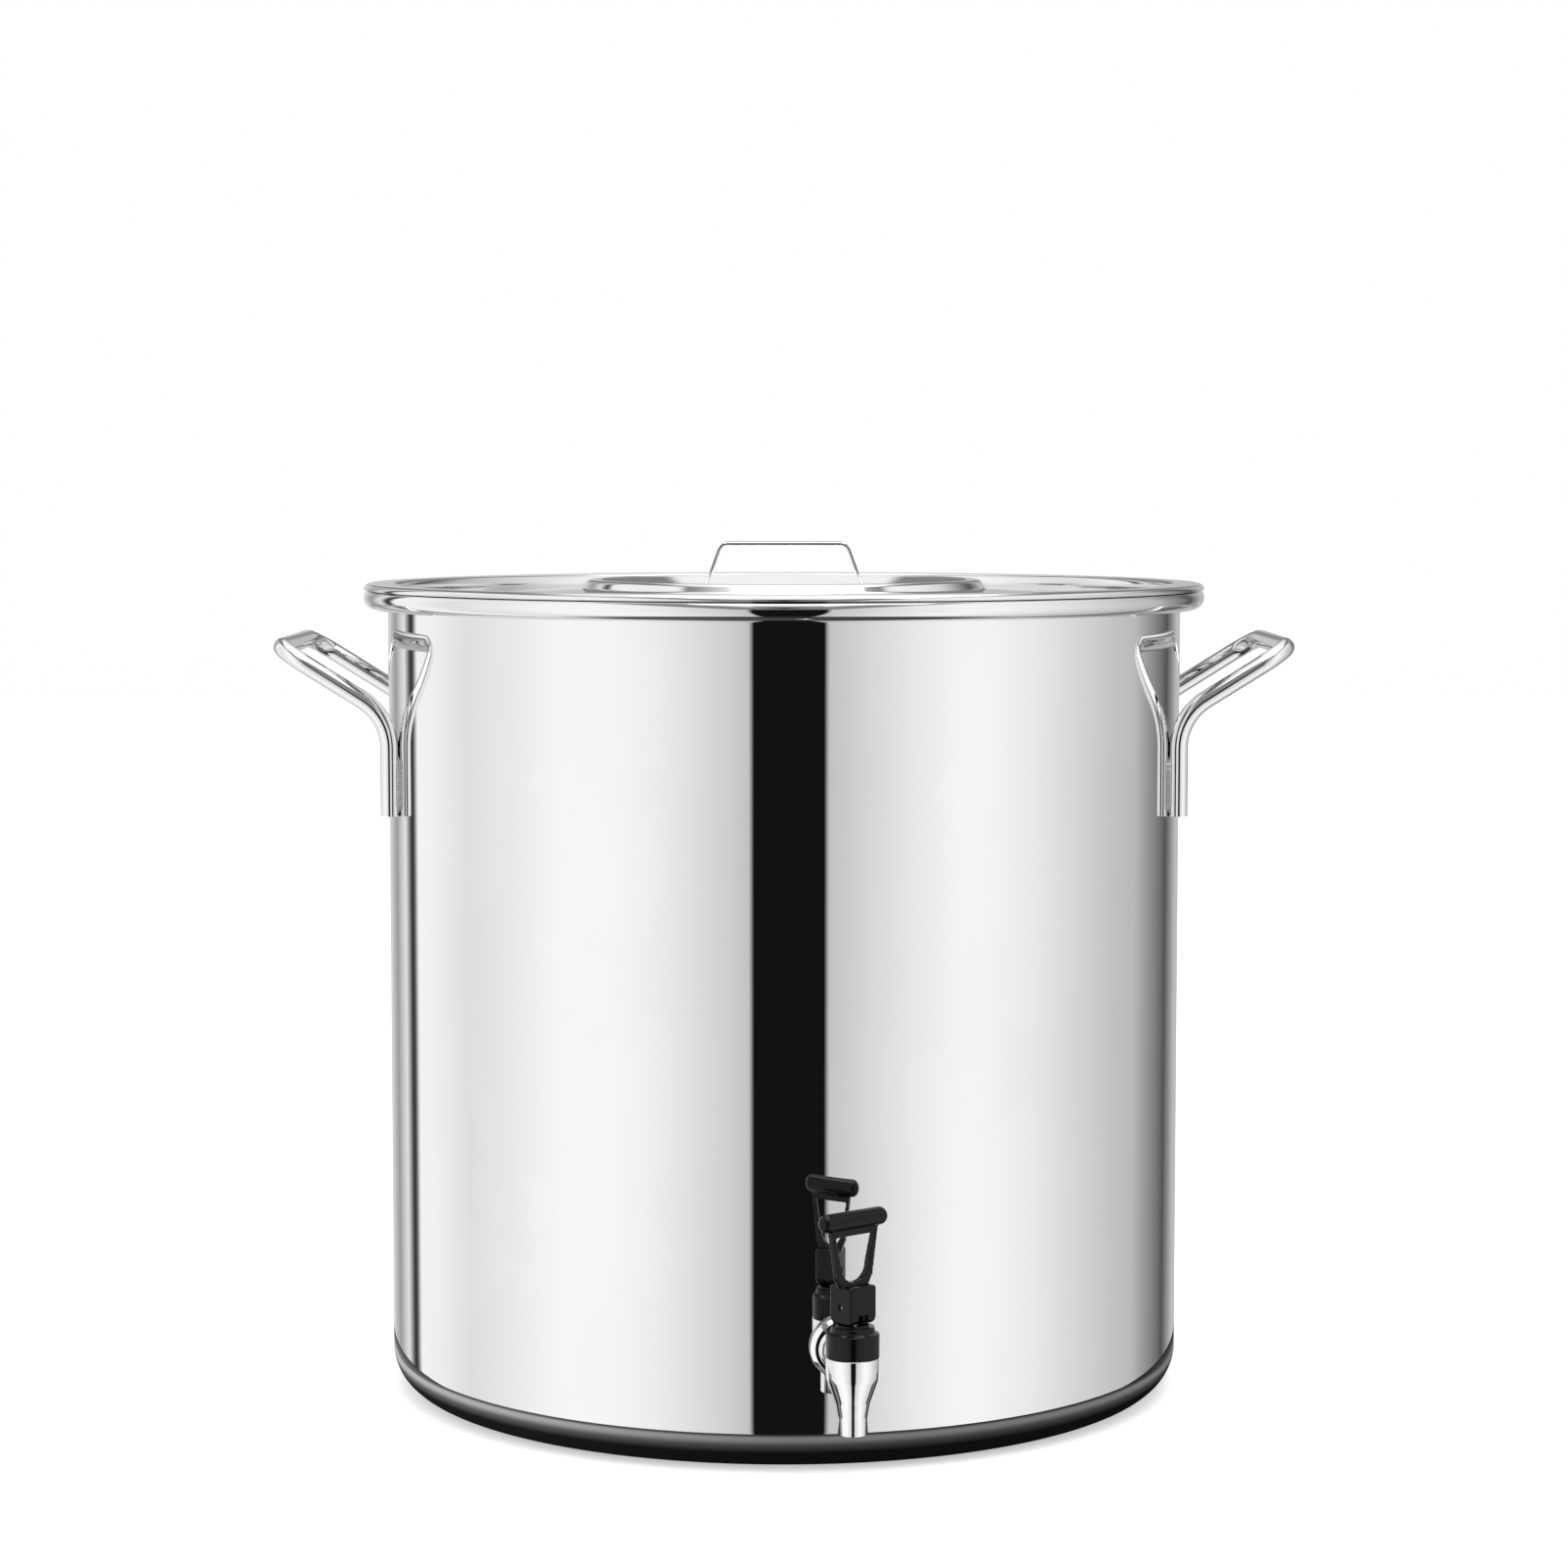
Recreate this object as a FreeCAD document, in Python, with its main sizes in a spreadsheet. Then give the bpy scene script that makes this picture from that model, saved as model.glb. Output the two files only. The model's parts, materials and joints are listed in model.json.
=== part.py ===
import FreeCAD, Part
import math
import os
import Sketcher
from types import SimpleNamespace

# A 50 litre stainless steel brew kettle: a rolled-rim pot with two welded loop handles, a stepped
# lid with a strap handle, and a self-closing dispenser tap near the floor.
# Millimetres, +Z up. The origin is the middle of the base, on the surface that the kettle stands
# on. The handles point along X, and -Y is the front. The tap's parts are drawn about the tap's own
# upright axis, with the kettle wall in the direction of +Y, and are then placed on the kettle.

DIMENSIONS = {
    # pot
    "pot_radius": 199.0,
    "pot_height": 404.0,
    "wall": 1.2,
    "corner_radius": 20.0,
    "rim_roll_radius": 5.6,
    "rim_flat": 2.0,
    "rim_return": 2.8,
    # handles
    "rod_diameter": 9.0,
    "rod_weld_sink": 0.1,
    "leg_spacing": 126.0,
    "leg_bottom": 292.5,
    "grip_reach": 247.0,
    "grip_level": 375.0,
    "arm_slope": 32.0,
    "leg_bend": 28.0,
    "grip_bend": 15.0,
    # lid
    "lid_sheet": 1.0,
    "lid_radius": 211.0,
    "lid_gap": 0.4,
    "lid_edge_roll": 3.0,
    "plug_radius": 196.4,
    "lid_gutter_depth": 17.0,
    "gutter_outer_radius": 191.0,
    "gutter_inner_radius": 160.0,
    "step_radius": 146.0,
    "plateau_drop": 4.0,
    "plateau_rise": 2.0,
    "ridge_outer_radius": 102.0,
    "ridge_height": 3.0,
    "ridge_top_outer": 99.0,
    "ridge_top_inner": 93.0,
    "well_rim_radius": 86.0,
    "well_radius": 72.0,
    "well_drop": 8.0,
    "lid_crease": 3.0,
    # strap handle on the lid
    "strap_sheet": 1.5,
    "strap_width": 38.0,
    "strap_length": 112.0,
    "strap_foot": 14.0,
    "strap_shoulder": 64.0,
    "strap_rise": 30.0,
    "strap_bend": 4.0,
    # tap
    "tap_angle": 7.4,
    "tap_reach": 240.0,
    "nozzle_bottom": 29.0,
    "nozzle_diameter": 13.6,
    "nozzle_bore": 9.5,
    "nozzle_length": 8.5,
    "flare_level": 43.2,
    "flare_diameter": 16.2,
    "bulb_level": 58.0,
    "body_diameter": 24.7,
    "crease_radius": 9.0,
    "body_top": 64.5,
    "neck_diameter": 20.0,
    "neck_top": 70.5,
    "chamber_diameter": 17.6,
    "chamber_overlap": 0.6,
    "seat_level": 54.0,
    "shank_level": 59.5,
    "shank_diameter": 9.4,
    "shank_bore": 6.4,
    "shank_collar": 16.8,
    "collar_start": 31.0,
    "thread_diameter": 15.8,
    "thread_start": 34.0,
    "thread_end": 57.0,
    "wall_hole": 16.4,
    # washers and nut on the shank, as distances from the tap's axis
    "flange_diameter": 28.3,
    "flange_ring": 20.0,
    "flange_face": 36.0,
    "flange_back": 38.6,
    "washer_diameter": 26.0,
    "washer_bore": 16.0,
    "inner_washer_face": 45.0,
    "backing_thickness": 1.5,
    "nut_flats": 22.0,
    "nut_thickness": 6.5,
    "cut_overlap": 1.0,
    # bonnet
    "bonnet_diameter": 24.3,
    "bonnet_bore": 20.2,
    "bonnet_shoulder": 72.2,
    "bonnet_full_top": 75.2,
    "bonnet_cone_top": 76.3,
    "bonnet_cone_diameter": 20.4,
    "bonnet_cap_diameter": 19.4,
    "bonnet_cap_top": 78.6,
    "bonnet_neck": 15.0,
    "bonnet_top": 79.6,
    "spring_room": 14.0,
    "spring_roof": 75.6,
    "stem_bore": 5.3,
    "ring_radius": 9.2,
    "ring_section": 1.6,
    # valve
    "stem_diameter": 5.0,
    "stem_bottom": 56.0,
    "stem_top": 91.6,
    "stem_foot": 6.8,
    "stem_foot_height": 2.0,
    "spring_seat_diameter": 12.0,
    "spring_seat_level": 60.2,
    "spring_seat_height": 1.2,
    "cup_diameter": 12.6,
    "cup_top": 60.0,
    "seat_gap": 0.05,
    "spring_gap": 0.1,
    "spring_wire": 0.9,
    "spring_radius": 5.0,
    "spring_turns": 7.0,
    # lever
    "lever_turn": 33.0,
    "pin_diameter": 2.4,
    "pin_chamfer": 0.3,
    "pin_fit_in_stem": 0.04,
    "pin_fit_in_lever": 0.12,
    "pin_level": 87.6,
    "pin_length": 13.4,
    "block_width": 15.5,
    "block_depth": 15.0,
    "block_bottom": 79.9,
    "block_top": 97.4,
    "foot_rounding": 3.5,
    "block_rounding": 1.2,
    "slot_width": 5.5,
    "slot_rear": 2.75,
    "slot_reach": 10.5,
    "stem_end_room": 5.1,
    "loop_thickness": 3.6,
    "loop_foot_width": 14.0,
    "loop_hip_width": 20.6,
    "loop_hip_level": 101.0,
    "loop_top_width": 28.6,
    "window_bottom_radius": 8.2,
    "window_bottom": 98.6,
    "window_top": 119.8,
    "window_top_width": 23.0,
    "bar_diameter": 8.4,
    "bar_length": 38.5,
    "bar_level": 126.7,
    "bar_rounding": 3.9,
}


class Size:
    """A number together with the expression that gives it from the spreadsheet."""

    def __init__(self, value, text):
        self.value = float(value)
        self.text = text

    def joined(self, other, sign, value):
        text = other.text if isinstance(other, Size) else repr(other)
        return Size(value, f"({self.text} {sign} {text})")

    def __add__(self, other):
        return self.joined(other, "+", self.value + number(other))

    def __sub__(self, other):
        return self.joined(other, "-", self.value - number(other))

    def __mul__(self, other):
        return self.joined(other, "*", self.value * number(other))

    def __truediv__(self, other):
        return self.joined(other, "/", self.value / number(other))

    def __neg__(self):
        return Size(-self.value, f"(0 - {self.text})")

    def sine(self):
        return Size(math.sin(math.radians(self.value)), f"sin({self.text})")

    def cosine(self):
        return Size(math.cos(math.radians(self.value)), f"cos({self.text})")


def number(value):
    """The plain number behind a Size or a number."""
    return value.value if isinstance(value, Size) else float(value)


def bind(item, path, value):
    """Bind one property of an object to the sheet."""
    if isinstance(value, Size):
        item.setExpression(path, value.text)
    else:
        item.setExpression(path, repr(float(value)))


def make_sheet(doc):
    """The spreadsheet of driving dimensions: names in column A, numbers in column B."""
    sheet = doc.addObject("Spreadsheet::Sheet", "Sizes")
    for row, (name, value) in enumerate(DIMENSIONS.items(), start=1):
        sheet.set(f"A{row}", name)
        sheet.set(f"B{row}", str(value))
        sheet.setAlias(f"B{row}", name)
    doc.recompute()
    return sheet


def plane_of(body, role):
    """One of a body's own origin planes."""
    return next(item for item in body.Origin.OriginFeatures if item.Role == role)


def new_sketch(body, role, name, offset=None):
    """An empty sketch on one of the body's origin planes, optionally moved along its normal."""
    sketch = body.newObject("Sketcher::SketchObject", name)
    sketch.AttachmentSupport = [(plane_of(body, role), "")]
    sketch.MapMode = "FlatFace"
    if offset is not None:
        bind(sketch, "AttachmentOffset.Base.z", offset)
    return sketch


def fix_point(sketch, geometry, point, u, v, only=None):
    """Hold a point of the sketch at (u, v), or at only one of the two."""
    for kind, value in (("DistanceX", u), ("DistanceY", v)):
        if only is None or only == kind:
            index = sketch.addConstraint(
                Sketcher.Constraint(kind, -1, 1, geometry, point, number(value)))
            if isinstance(value, Size):
                sketch.setExpression(f"Constraints[{index}]", value.text)


def arc_between(start, end, centre):
    """The short arc between two points, and whether it runs anticlockwise."""
    middle = FreeCAD.Vector(*centre, 0)
    first = FreeCAD.Vector(*start, 0) - middle
    last = FreeCAD.Vector(*end, 0) - middle
    anticlockwise = first.x * last.y - first.y * last.x > 0
    if not anticlockwise:
        first, last = last, first
    circle = Part.Circle(middle, FreeCAD.Vector(0, 0, 1), first.Length)
    arc = Part.ArcOfCircle(circle, math.atan2(first.y, first.x), math.atan2(last.y, last.x))
    return arc, anticlockwise


def draw_outline(sketch, corners):
    """A closed outline. A corner (u, v) is reached by a line, (u, v, cu, cv) by an arc about (cu, cv)."""
    count = len(corners)
    plain = [[number(value) for value in corner] for corner in corners]
    sides = []
    for index in range(count):
        following = (index + 1) % count
        start = plain[index][:2]
        end = plain[following][:2]
        if len(corners[following]) == 4:
            shape, anticlockwise = arc_between(start, end, plain[following][2:])
            ends = (1, 2) if anticlockwise else (2, 1)
        else:
            shape = Part.LineSegment(FreeCAD.Vector(*start, 0), FreeCAD.Vector(*end, 0))
            ends = (1, 2)
        sides.append((sketch.addGeometry(shape, False), ends))
    for index in range(count):
        following = (index + 1) % count
        geometry, ends = sides[index]
        next_geometry, next_ends = sides[following]
        sketch.addConstraint(
            Sketcher.Constraint("Coincident", geometry, ends[1], next_geometry, next_ends[0]))
        if len(corners[following]) == 4:
            fix_point(sketch, geometry, 3, *corners[following][2:])
        corner = corners[index]
        only = None
        if len(corner) == 4:
            level = abs(plain[index][1] - plain[index][3]) > abs(plain[index][0] - plain[index][2])
            only = "DistanceX" if level else "DistanceY"
        fix_point(sketch, geometry, ends[0], *corner[:2], only=only)


def draw_circle(sketch, diameter, u=0.0, v=0.0):
    """A circle of a bound diameter about (u, v)."""
    circle = Part.Circle(
        FreeCAD.Vector(number(u), number(v), 0), FreeCAD.Vector(0, 0, 1), number(diameter) / 2)
    geometry = sketch.addGeometry(circle, False)
    fix_point(sketch, geometry, 3, u, v)
    index = sketch.addConstraint(Sketcher.Constraint("Diameter", geometry, number(diameter)))
    sketch.setExpression(f"Constraints[{index}]", diameter.text)


def new_body(doc, name):
    """An empty PartDesign body named after its sub-part."""
    body = doc.addObject("PartDesign::Body", name)
    body.Label = name
    return body


def turned(doc, name, corners):
    """A body turned about Z from the outline of its half section."""
    body = new_body(doc, name)
    sketch = new_sketch(body, "XZ_Plane", name + "_section")
    draw_outline(sketch, corners)
    turning = body.newObject("PartDesign::Revolution", name + "_turning")
    turning.Profile = sketch
    turning.ReferenceAxis = (sketch, ["V_Axis"])
    turning.Angle = 360.0
    body.Tip = turning
    return body


def extrude(body, kind, sketch, name, length, symmetric=False, backwards=False):
    """A Pad or a Pocket of a sketch by a bound length."""
    feature = body.newObject("PartDesign::" + kind, name)
    feature.Profile = sketch
    if symmetric:
        feature.SideType = "Symmetric"
    feature.Reversed = backwards
    bind(feature, "Length", length)
    body.Tip = feature
    return feature


def round_edges(doc, body, name, radius, wanted):
    """Round the edges of the body's tip that the test function picks."""
    doc.recompute()
    tip = body.Tip
    edges = [f"Edge{index}" for index, edge in enumerate(tip.Shape.Edges, start=1) if wanted(edge)]
    if not edges:
        raise RuntimeError(f"{body.Label}: no edge to round")
    fillet = body.newObject("PartDesign::Fillet", name)
    fillet.Base = (tip, edges)
    bind(fillet, "Radius", radius)
    body.Tip = fillet


def check_cut(doc, body, feature, before):
    """A cut that points the wrong way removes nothing, so its volume is compared."""
    doc.recompute()
    if feature.Shape.Volume > before - 0.1:
        raise RuntimeError(f"{feature.Label} cut nothing from {body.Label}")


def volume_now(doc, body):
    """The volume of the body's tip after a recompute."""
    doc.recompute()
    return body.Tip.Shape.Volume


def place_on_tap(item, sizes, turn=None):
    """Put an object drawn about the tap's upright axis at its place on the kettle."""
    angle = sizes.tap_angle if turn is None else sizes.tap_angle + turn
    item.Placement = FreeCAD.Placement(
        FreeCAD.Vector(0, 0, 0), FreeCAD.Rotation(FreeCAD.Vector(0, 0, 1), 1.0))
    bind(item, "Placement.Base.x", sizes.tap_reach * sizes.tap_angle.sine())
    bind(item, "Placement.Base.y", -(sizes.tap_reach * sizes.tap_angle.cosine()))
    bind(item, "Placement.Rotation.Angle", angle)


def cylinder(doc, name, diameter, length, start, level, axis="z"):
    """A cylinder primitive: upright from a level, or lying along Y from a distance at a level."""
    item = doc.addObject("Part::Cylinder", name)
    bind(item, "Radius", diameter / 2)
    bind(item, "Height", length)
    if axis == "y":
        item.Placement.Rotation = FreeCAD.Rotation(FreeCAD.Vector(1, 0, 0), -90)
        bind(item, "Placement.Base.y", start)
    bind(item, "Placement.Base.z", level)
    return item


def combine(doc, kind, name, base, tool):
    """A Part boolean of two objects."""
    item = doc.addObject("Part::" + kind, name)
    item.Base = base
    item.Tool = tool
    item.Label = name
    return item


# ---------------------------------------------------------------- pot

def make_pot_shell(doc, s):
    """The deep-drawn pot: a flat base, a rounded corner, a straight wall and a rolled rim."""
    outside = s.pot_radius
    inside = s.pot_radius - s.wall
    roll_centre = inside + s.rim_roll_radius
    flat_end = roll_centre + s.rim_flat
    roll_inner = s.rim_roll_radius - s.wall
    roll_level = s.pot_height - s.rim_roll_radius
    foot_outer = outside - s.corner_radius
    body = turned(doc, "pot_shell", [
        (0.0, 0.0),
        (foot_outer, 0.0),
        (outside, s.corner_radius, foot_outer, s.corner_radius),
        (outside, roll_level),
        (roll_centre, s.pot_height - s.wall, roll_centre, roll_level),
        (flat_end, s.pot_height - s.wall),
        (flat_end + roll_inner, roll_level, flat_end, roll_level),
        (flat_end, roll_level - roll_inner, flat_end, roll_level),
        (roll_centre - s.rim_return, roll_level - roll_inner),
        (roll_centre - s.rim_return, roll_level - s.rim_roll_radius),
        (flat_end, roll_level - s.rim_roll_radius),
        (flat_end + s.rim_roll_radius, roll_level, flat_end, roll_level),
        (flat_end, s.pot_height, flat_end, roll_level),
        (roll_centre, s.pot_height),
        (inside, roll_level, roll_centre, roll_level),
        (inside, s.corner_radius),
        (foot_outer, s.wall, foot_outer, s.corner_radius),
        (0.0, s.wall),
    ])
    before = volume_now(doc, body)
    hole = new_sketch(body, "XZ_Plane", "tap_hole_circle")
    draw_circle(hole, s.wall_hole, 0.0, s.shank_level)
    cut = extrude(body, "Pocket", hole, "tap_hole", s.tap_reach, backwards=True)
    check_cut(doc, body, cut, before)
    body.Placement.Rotation = FreeCAD.Rotation(FreeCAD.Vector(0, 0, 1), 1.0)
    bind(body, "Placement.Rotation.Angle", s.tap_angle)
    return body


# ---------------------------------------------------------------- handles

def bent_path(points, radii):
    """A wire of straight runs joined by tangent arcs at the inner points."""
    edges = []
    start = points[0]
    for index, radius in enumerate(radii, start=1):
        corner = points[index]
        into = (corner - points[index - 1]).normalize()
        away = (points[index + 1] - corner).normalize()
        half_turn = into.getAngle(away) / 2
        reach = radius * math.tan(half_turn)
        first = corner - into * reach
        last = corner + away * reach
        inward = (away - into).normalize()
        middle = corner + inward * (radius / math.cos(half_turn) - radius)
        edges.append(Part.LineSegment(start, first).toShape())
        edges.append(Part.Arc(first, middle, last).toShape())
        start = last
    edges.append(Part.LineSegment(start, points[-1]).toShape())
    return Part.Wire(edges)


def sweep_round(path, start, direction, diameter):
    """A round rod along a path, with its volume compared with section times length."""
    circle = Part.makeCircle(diameter / 2, start, direction)
    rod = path.makePipeShell([Part.Wire([circle])], True, True)
    expected = math.pi * diameter ** 2 / 4 * path.Length
    if abs(rod.Volume - expected) > 0.01 * expected:
        raise RuntimeError("a swept rod has the wrong volume")
    return rod


def make_handle_loop(doc, s, name, turn):
    """The bent rod: two upright legs welded to the wall, two rising arms and the grip."""
    rod = s.rod_diameter.value
    half = s.leg_spacing.value / 2
    seat = s.pot_radius.value + rod / 2 - s.rod_weld_sink.value
    leg_x = math.sqrt(seat ** 2 - half ** 2)
    rise = (s.grip_reach.value - leg_x) * math.tan(math.radians(s.arm_slope.value))
    bend_level = s.grip_level.value - rise
    points = [
        FreeCAD.Vector(leg_x, -half, s.leg_bottom.value),
        FreeCAD.Vector(leg_x, -half, bend_level),
        FreeCAD.Vector(s.grip_reach.value, -half, s.grip_level.value),
        FreeCAD.Vector(s.grip_reach.value, half, s.grip_level.value),
        FreeCAD.Vector(leg_x, half, bend_level),
        FreeCAD.Vector(leg_x, half, s.leg_bottom.value),
    ]
    radii = [s.leg_bend.value, s.grip_bend.value, s.grip_bend.value, s.leg_bend.value]
    path = bent_path(points, radii)
    item = doc.addObject("Part::Feature", name)
    item.Label = name
    item.Shape = sweep_round(path, points[0], FreeCAD.Vector(0, 0, 1), rod)
    item.Placement = FreeCAD.Placement(
        FreeCAD.Vector(0, 0, 0), FreeCAD.Rotation(FreeCAD.Vector(0, 0, 1), turn))
    return item


# ---------------------------------------------------------------- lid

def make_lid_shell(doc, s):
    """The pressed lid: a flat flange with a turned-down edge, a gutter, a plateau and a well."""
    top = s.pot_height
    under = top + s.lid_gap
    flange = under + s.lid_sheet
    roll_centre = s.lid_radius - s.lid_edge_roll
    roll_level = flange - s.lid_edge_roll
    inner_roll = s.lid_edge_roll - s.lid_sheet
    sheet = s.lid_sheet
    plug_inside = s.plug_radius - sheet
    plateau_outer = top - s.plateau_drop
    plateau_inner = plateau_outer + s.plateau_rise
    gutter = top - s.lid_gutter_depth
    well = top - s.well_drop
    upper = [
        (0.0, well),
        (s.well_radius, well),
        (s.well_rim_radius, plateau_inner),
        (s.ridge_top_inner, top + s.ridge_height),
        (s.ridge_top_outer, top + s.ridge_height),
        (s.ridge_outer_radius, plateau_inner),
        (s.step_radius, plateau_outer),
        (s.gutter_inner_radius, gutter),
        (s.gutter_outer_radius, gutter),
        (plug_inside, gutter + s.lid_crease * 2),
        (plug_inside, flange),
    ]
    lower = [(corner[0], corner[1] - sheet) for corner in upper[:-1]]
    lower[-1] = (s.plug_radius, gutter + s.lid_crease * 2 - sheet)
    lower[-2] = (s.gutter_outer_radius + sheet / 2, gutter - sheet)
    edge = [
        (roll_centre, flange),
        (s.lid_radius, roll_level, roll_centre, roll_level),
        (s.lid_radius - sheet, roll_level),
        (roll_centre, under, roll_centre, roll_level),
        (s.plug_radius, under),
    ]
    body = turned(doc, "lid_shell", upper + edge + lower[::-1])
    rounded = {
        (round(number(corner[0]), 3), round(number(corner[1]), 3))
        for corner in upper[1:] + lower[1:] + [edge[-1]]
    }

    def pressed_crease(edge_shape):
        point = edge_shape.Vertexes[0].Point
        spot = (round(math.hypot(point.x, point.y), 3), round(point.z, 3))
        return edge_shape.Curve.TypeId == "Part::GeomCircle" and spot in rounded

    round_edges(doc, body, "lid_creases", s.lid_crease, pressed_crease)
    return body


def make_lid_strap(doc, s):
    """The strap handle: a bent strip that stands on two feet in the lid's well."""
    floor = s.pot_height - s.well_drop
    sheet = s.strap_sheet
    half = s.strap_length / 2
    ankle = half - s.strap_foot
    shoulder = s.strap_shoulder / 2
    top = floor + s.strap_rise
    body = new_body(doc, "lid_strap")
    side = new_sketch(body, "XZ_Plane", "strap_side")
    draw_outline(side, [
        (-half, floor),
        (-(ankle - sheet), floor),
        (-(shoulder - sheet / 2), top - sheet),
        (shoulder - sheet / 2, top - sheet),
        (ankle - sheet, floor),
        (half, floor),
        (half, floor + sheet),
        (ankle, floor + sheet),
        (shoulder + sheet / 2, top),
        (-(shoulder + sheet / 2), top),
        (-ankle, floor + sheet),
        (-half, floor + sheet),
    ])
    extrude(body, "Pad", side, "strap_strip", s.strap_width, symmetric=True)

    def bend_line(edge):
        start, end = edge.Vertexes[0].Point, edge.Vertexes[-1].Point
        across = abs(start.y - end.y) > s.strap_width.value - 0.01
        return across and abs(start.x) < half.value - 0.01

    def foot_corner(edge):
        start, end = edge.Vertexes[0].Point, edge.Vertexes[-1].Point
        upright = abs(start.z - end.z) > sheet.value - 0.01 and abs(start.x - end.x) < 0.001
        return upright and abs(abs(start.x) - half.value) < 0.01

    round_edges(doc, body, "strap_bends", s.strap_bend, bend_line)
    round_edges(doc, body, "strap_foot_corners", s.strap_foot - s.strap_sheet * 2, foot_corner)
    return body


# ---------------------------------------------------------------- tap, fixed parts

def make_tap_body(doc, s):
    """The chromed casting: nozzle, bulb, threaded neck, and the shank that passes the wall."""
    nozzle = s.nozzle_diameter / 2
    body = turned(doc, "tap_body", [
        (s.nozzle_bore / 2, s.nozzle_bottom),
        (nozzle, s.nozzle_bottom),
        (nozzle, s.nozzle_bottom + s.nozzle_length),
        (s.flare_diameter / 2, s.flare_level),
        (s.body_diameter / 2, s.bulb_level),
        (s.body_diameter / 2, s.body_top),
        (s.neck_diameter / 2, s.body_top),
        (s.neck_diameter / 2, s.neck_top),
        (s.chamber_diameter / 2, s.neck_top),
        (s.chamber_diameter / 2, s.seat_level),
        (s.nozzle_bore / 2, s.seat_level),
    ])

    def casting_crease(edge):
        if edge.Curve.TypeId != "Part::GeomCircle":
            return False
        point = edge.Vertexes[0].Point
        spots = [
            (nozzle.value, (s.nozzle_bottom + s.nozzle_length).value),
            (s.flare_diameter.value / 2, s.flare_level.value),
            (s.body_diameter.value / 2, s.bulb_level.value),
        ]
        radius = math.hypot(point.x, point.y)
        return any(math.hypot(radius - r, point.z - z) < 0.01 for r, z in spots)

    round_edges(doc, body, "casting_creases", s.crease_radius, casting_crease)
    clear = s.chamber_diameter / 2 + s.chamber_overlap
    shank_steps = [
        ("shank", s.shank_diameter, clear, s.thread_start),
        ("shank_collar", s.shank_collar, s.collar_start, s.thread_start),
        ("shank_thread", s.thread_diameter, s.thread_start, s.thread_end),
    ]
    for name, diameter, start, end in shank_steps:
        sketch = new_sketch(body, "XZ_Plane", name + "_circle", offset=-start)
        draw_circle(sketch, diameter, 0.0, s.shank_level)
        extrude(body, "Pad", sketch, name, end - start, backwards=True)
    before = volume_now(doc, body)
    bore_start = s.nozzle_bore / 2
    bore = new_sketch(body, "XZ_Plane", "shank_bore_circle", offset=-bore_start)
    draw_circle(bore, s.shank_bore, 0.0, s.shank_level)
    cut = extrude(
        body, "Pocket", bore, "shank_bore_cut", s.thread_end - bore_start + s.cut_overlap)
    check_cut(doc, body, cut, before)
    place_on_tap(body, s)
    return body


def make_tap_flange(doc, s):
    """The stepped chrome cup washer between the tap and the outer seal."""
    outer = cylinder(
        doc, "flange_rim", s.flange_diameter, s.flange_back - s.flange_face, s.flange_face,
        s.shank_level, "y")
    ring = cylinder(
        doc, "flange_ring_step", s.flange_ring, s.flange_face - s.thread_start, s.thread_start,
        s.shank_level, "y")
    hole = cylinder(
        doc, "flange_hole", s.washer_bore, s.flange_back, s.thread_start - s.cut_overlap,
        s.shank_level, "y")
    disc = combine(doc, "Fuse", "flange_disc", outer, ring)
    item = combine(doc, "Cut", "tap_flange", disc, hole)
    place_on_tap(item, s)
    return item


def pot_cylinder(doc, s, name, radius):
    """A tall cylinder about the pot's axis, seen from the tap's axis."""
    item = cylinder(doc, name, radius * 2, s.pot_height / 2, 0.0, 0.0)
    bind(item, "Placement.Base.y", s.tap_reach)
    return item


def make_outer_washer(doc, s):
    """The silicone washer outside the wall, pressed to the wall's curve."""
    start = s.flange_back
    reach = s.tap_reach - s.pot_radius + s.cut_overlap
    disc = cylinder(
        doc, "outer_washer_disc", s.washer_diameter, reach - start, start, s.shank_level, "y")
    hole = cylinder(
        doc, "outer_washer_hole", s.washer_bore, reach, start - s.cut_overlap, s.shank_level, "y")
    ring = combine(doc, "Cut", "outer_washer_ring", disc, hole)
    wall = pot_cylinder(doc, s, "outer_wall_face", s.pot_radius)
    item = combine(doc, "Cut", "outer_washer", ring, wall)
    place_on_tap(item, s)
    return item


def make_inner_washer(doc, s):
    """The silicone washer inside the wall, pressed to the wall's curve."""
    start = s.tap_reach - s.pot_radius
    end = s.inner_washer_face
    disc = cylinder(
        doc, "inner_washer_disc", s.washer_diameter, end - start, start, s.shank_level, "y")
    hole = cylinder(
        doc, "inner_washer_hole", s.washer_bore, end, start - s.cut_overlap, s.shank_level, "y")
    ring = combine(doc, "Cut", "inner_washer_ring", disc, hole)
    wall = pot_cylinder(doc, s, "inner_wall_face", s.pot_radius - s.wall)
    item = combine(doc, "Common", "inner_washer", ring, wall)
    place_on_tap(item, s)
    return item


def make_backing_washer(doc, s):
    """The flat steel washer between the inner seal and the nut."""
    start = s.inner_washer_face
    disc = cylinder(
        doc, "backing_disc", s.washer_diameter, s.backing_thickness, start, s.shank_level, "y")
    hole = cylinder(
        doc, "backing_hole", s.washer_bore, s.backing_thickness + s.cut_overlap * 2,
        start - s.cut_overlap, s.shank_level, "y")
    item = combine(doc, "Cut", "backing_washer", disc, hole)
    place_on_tap(item, s)
    return item


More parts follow.
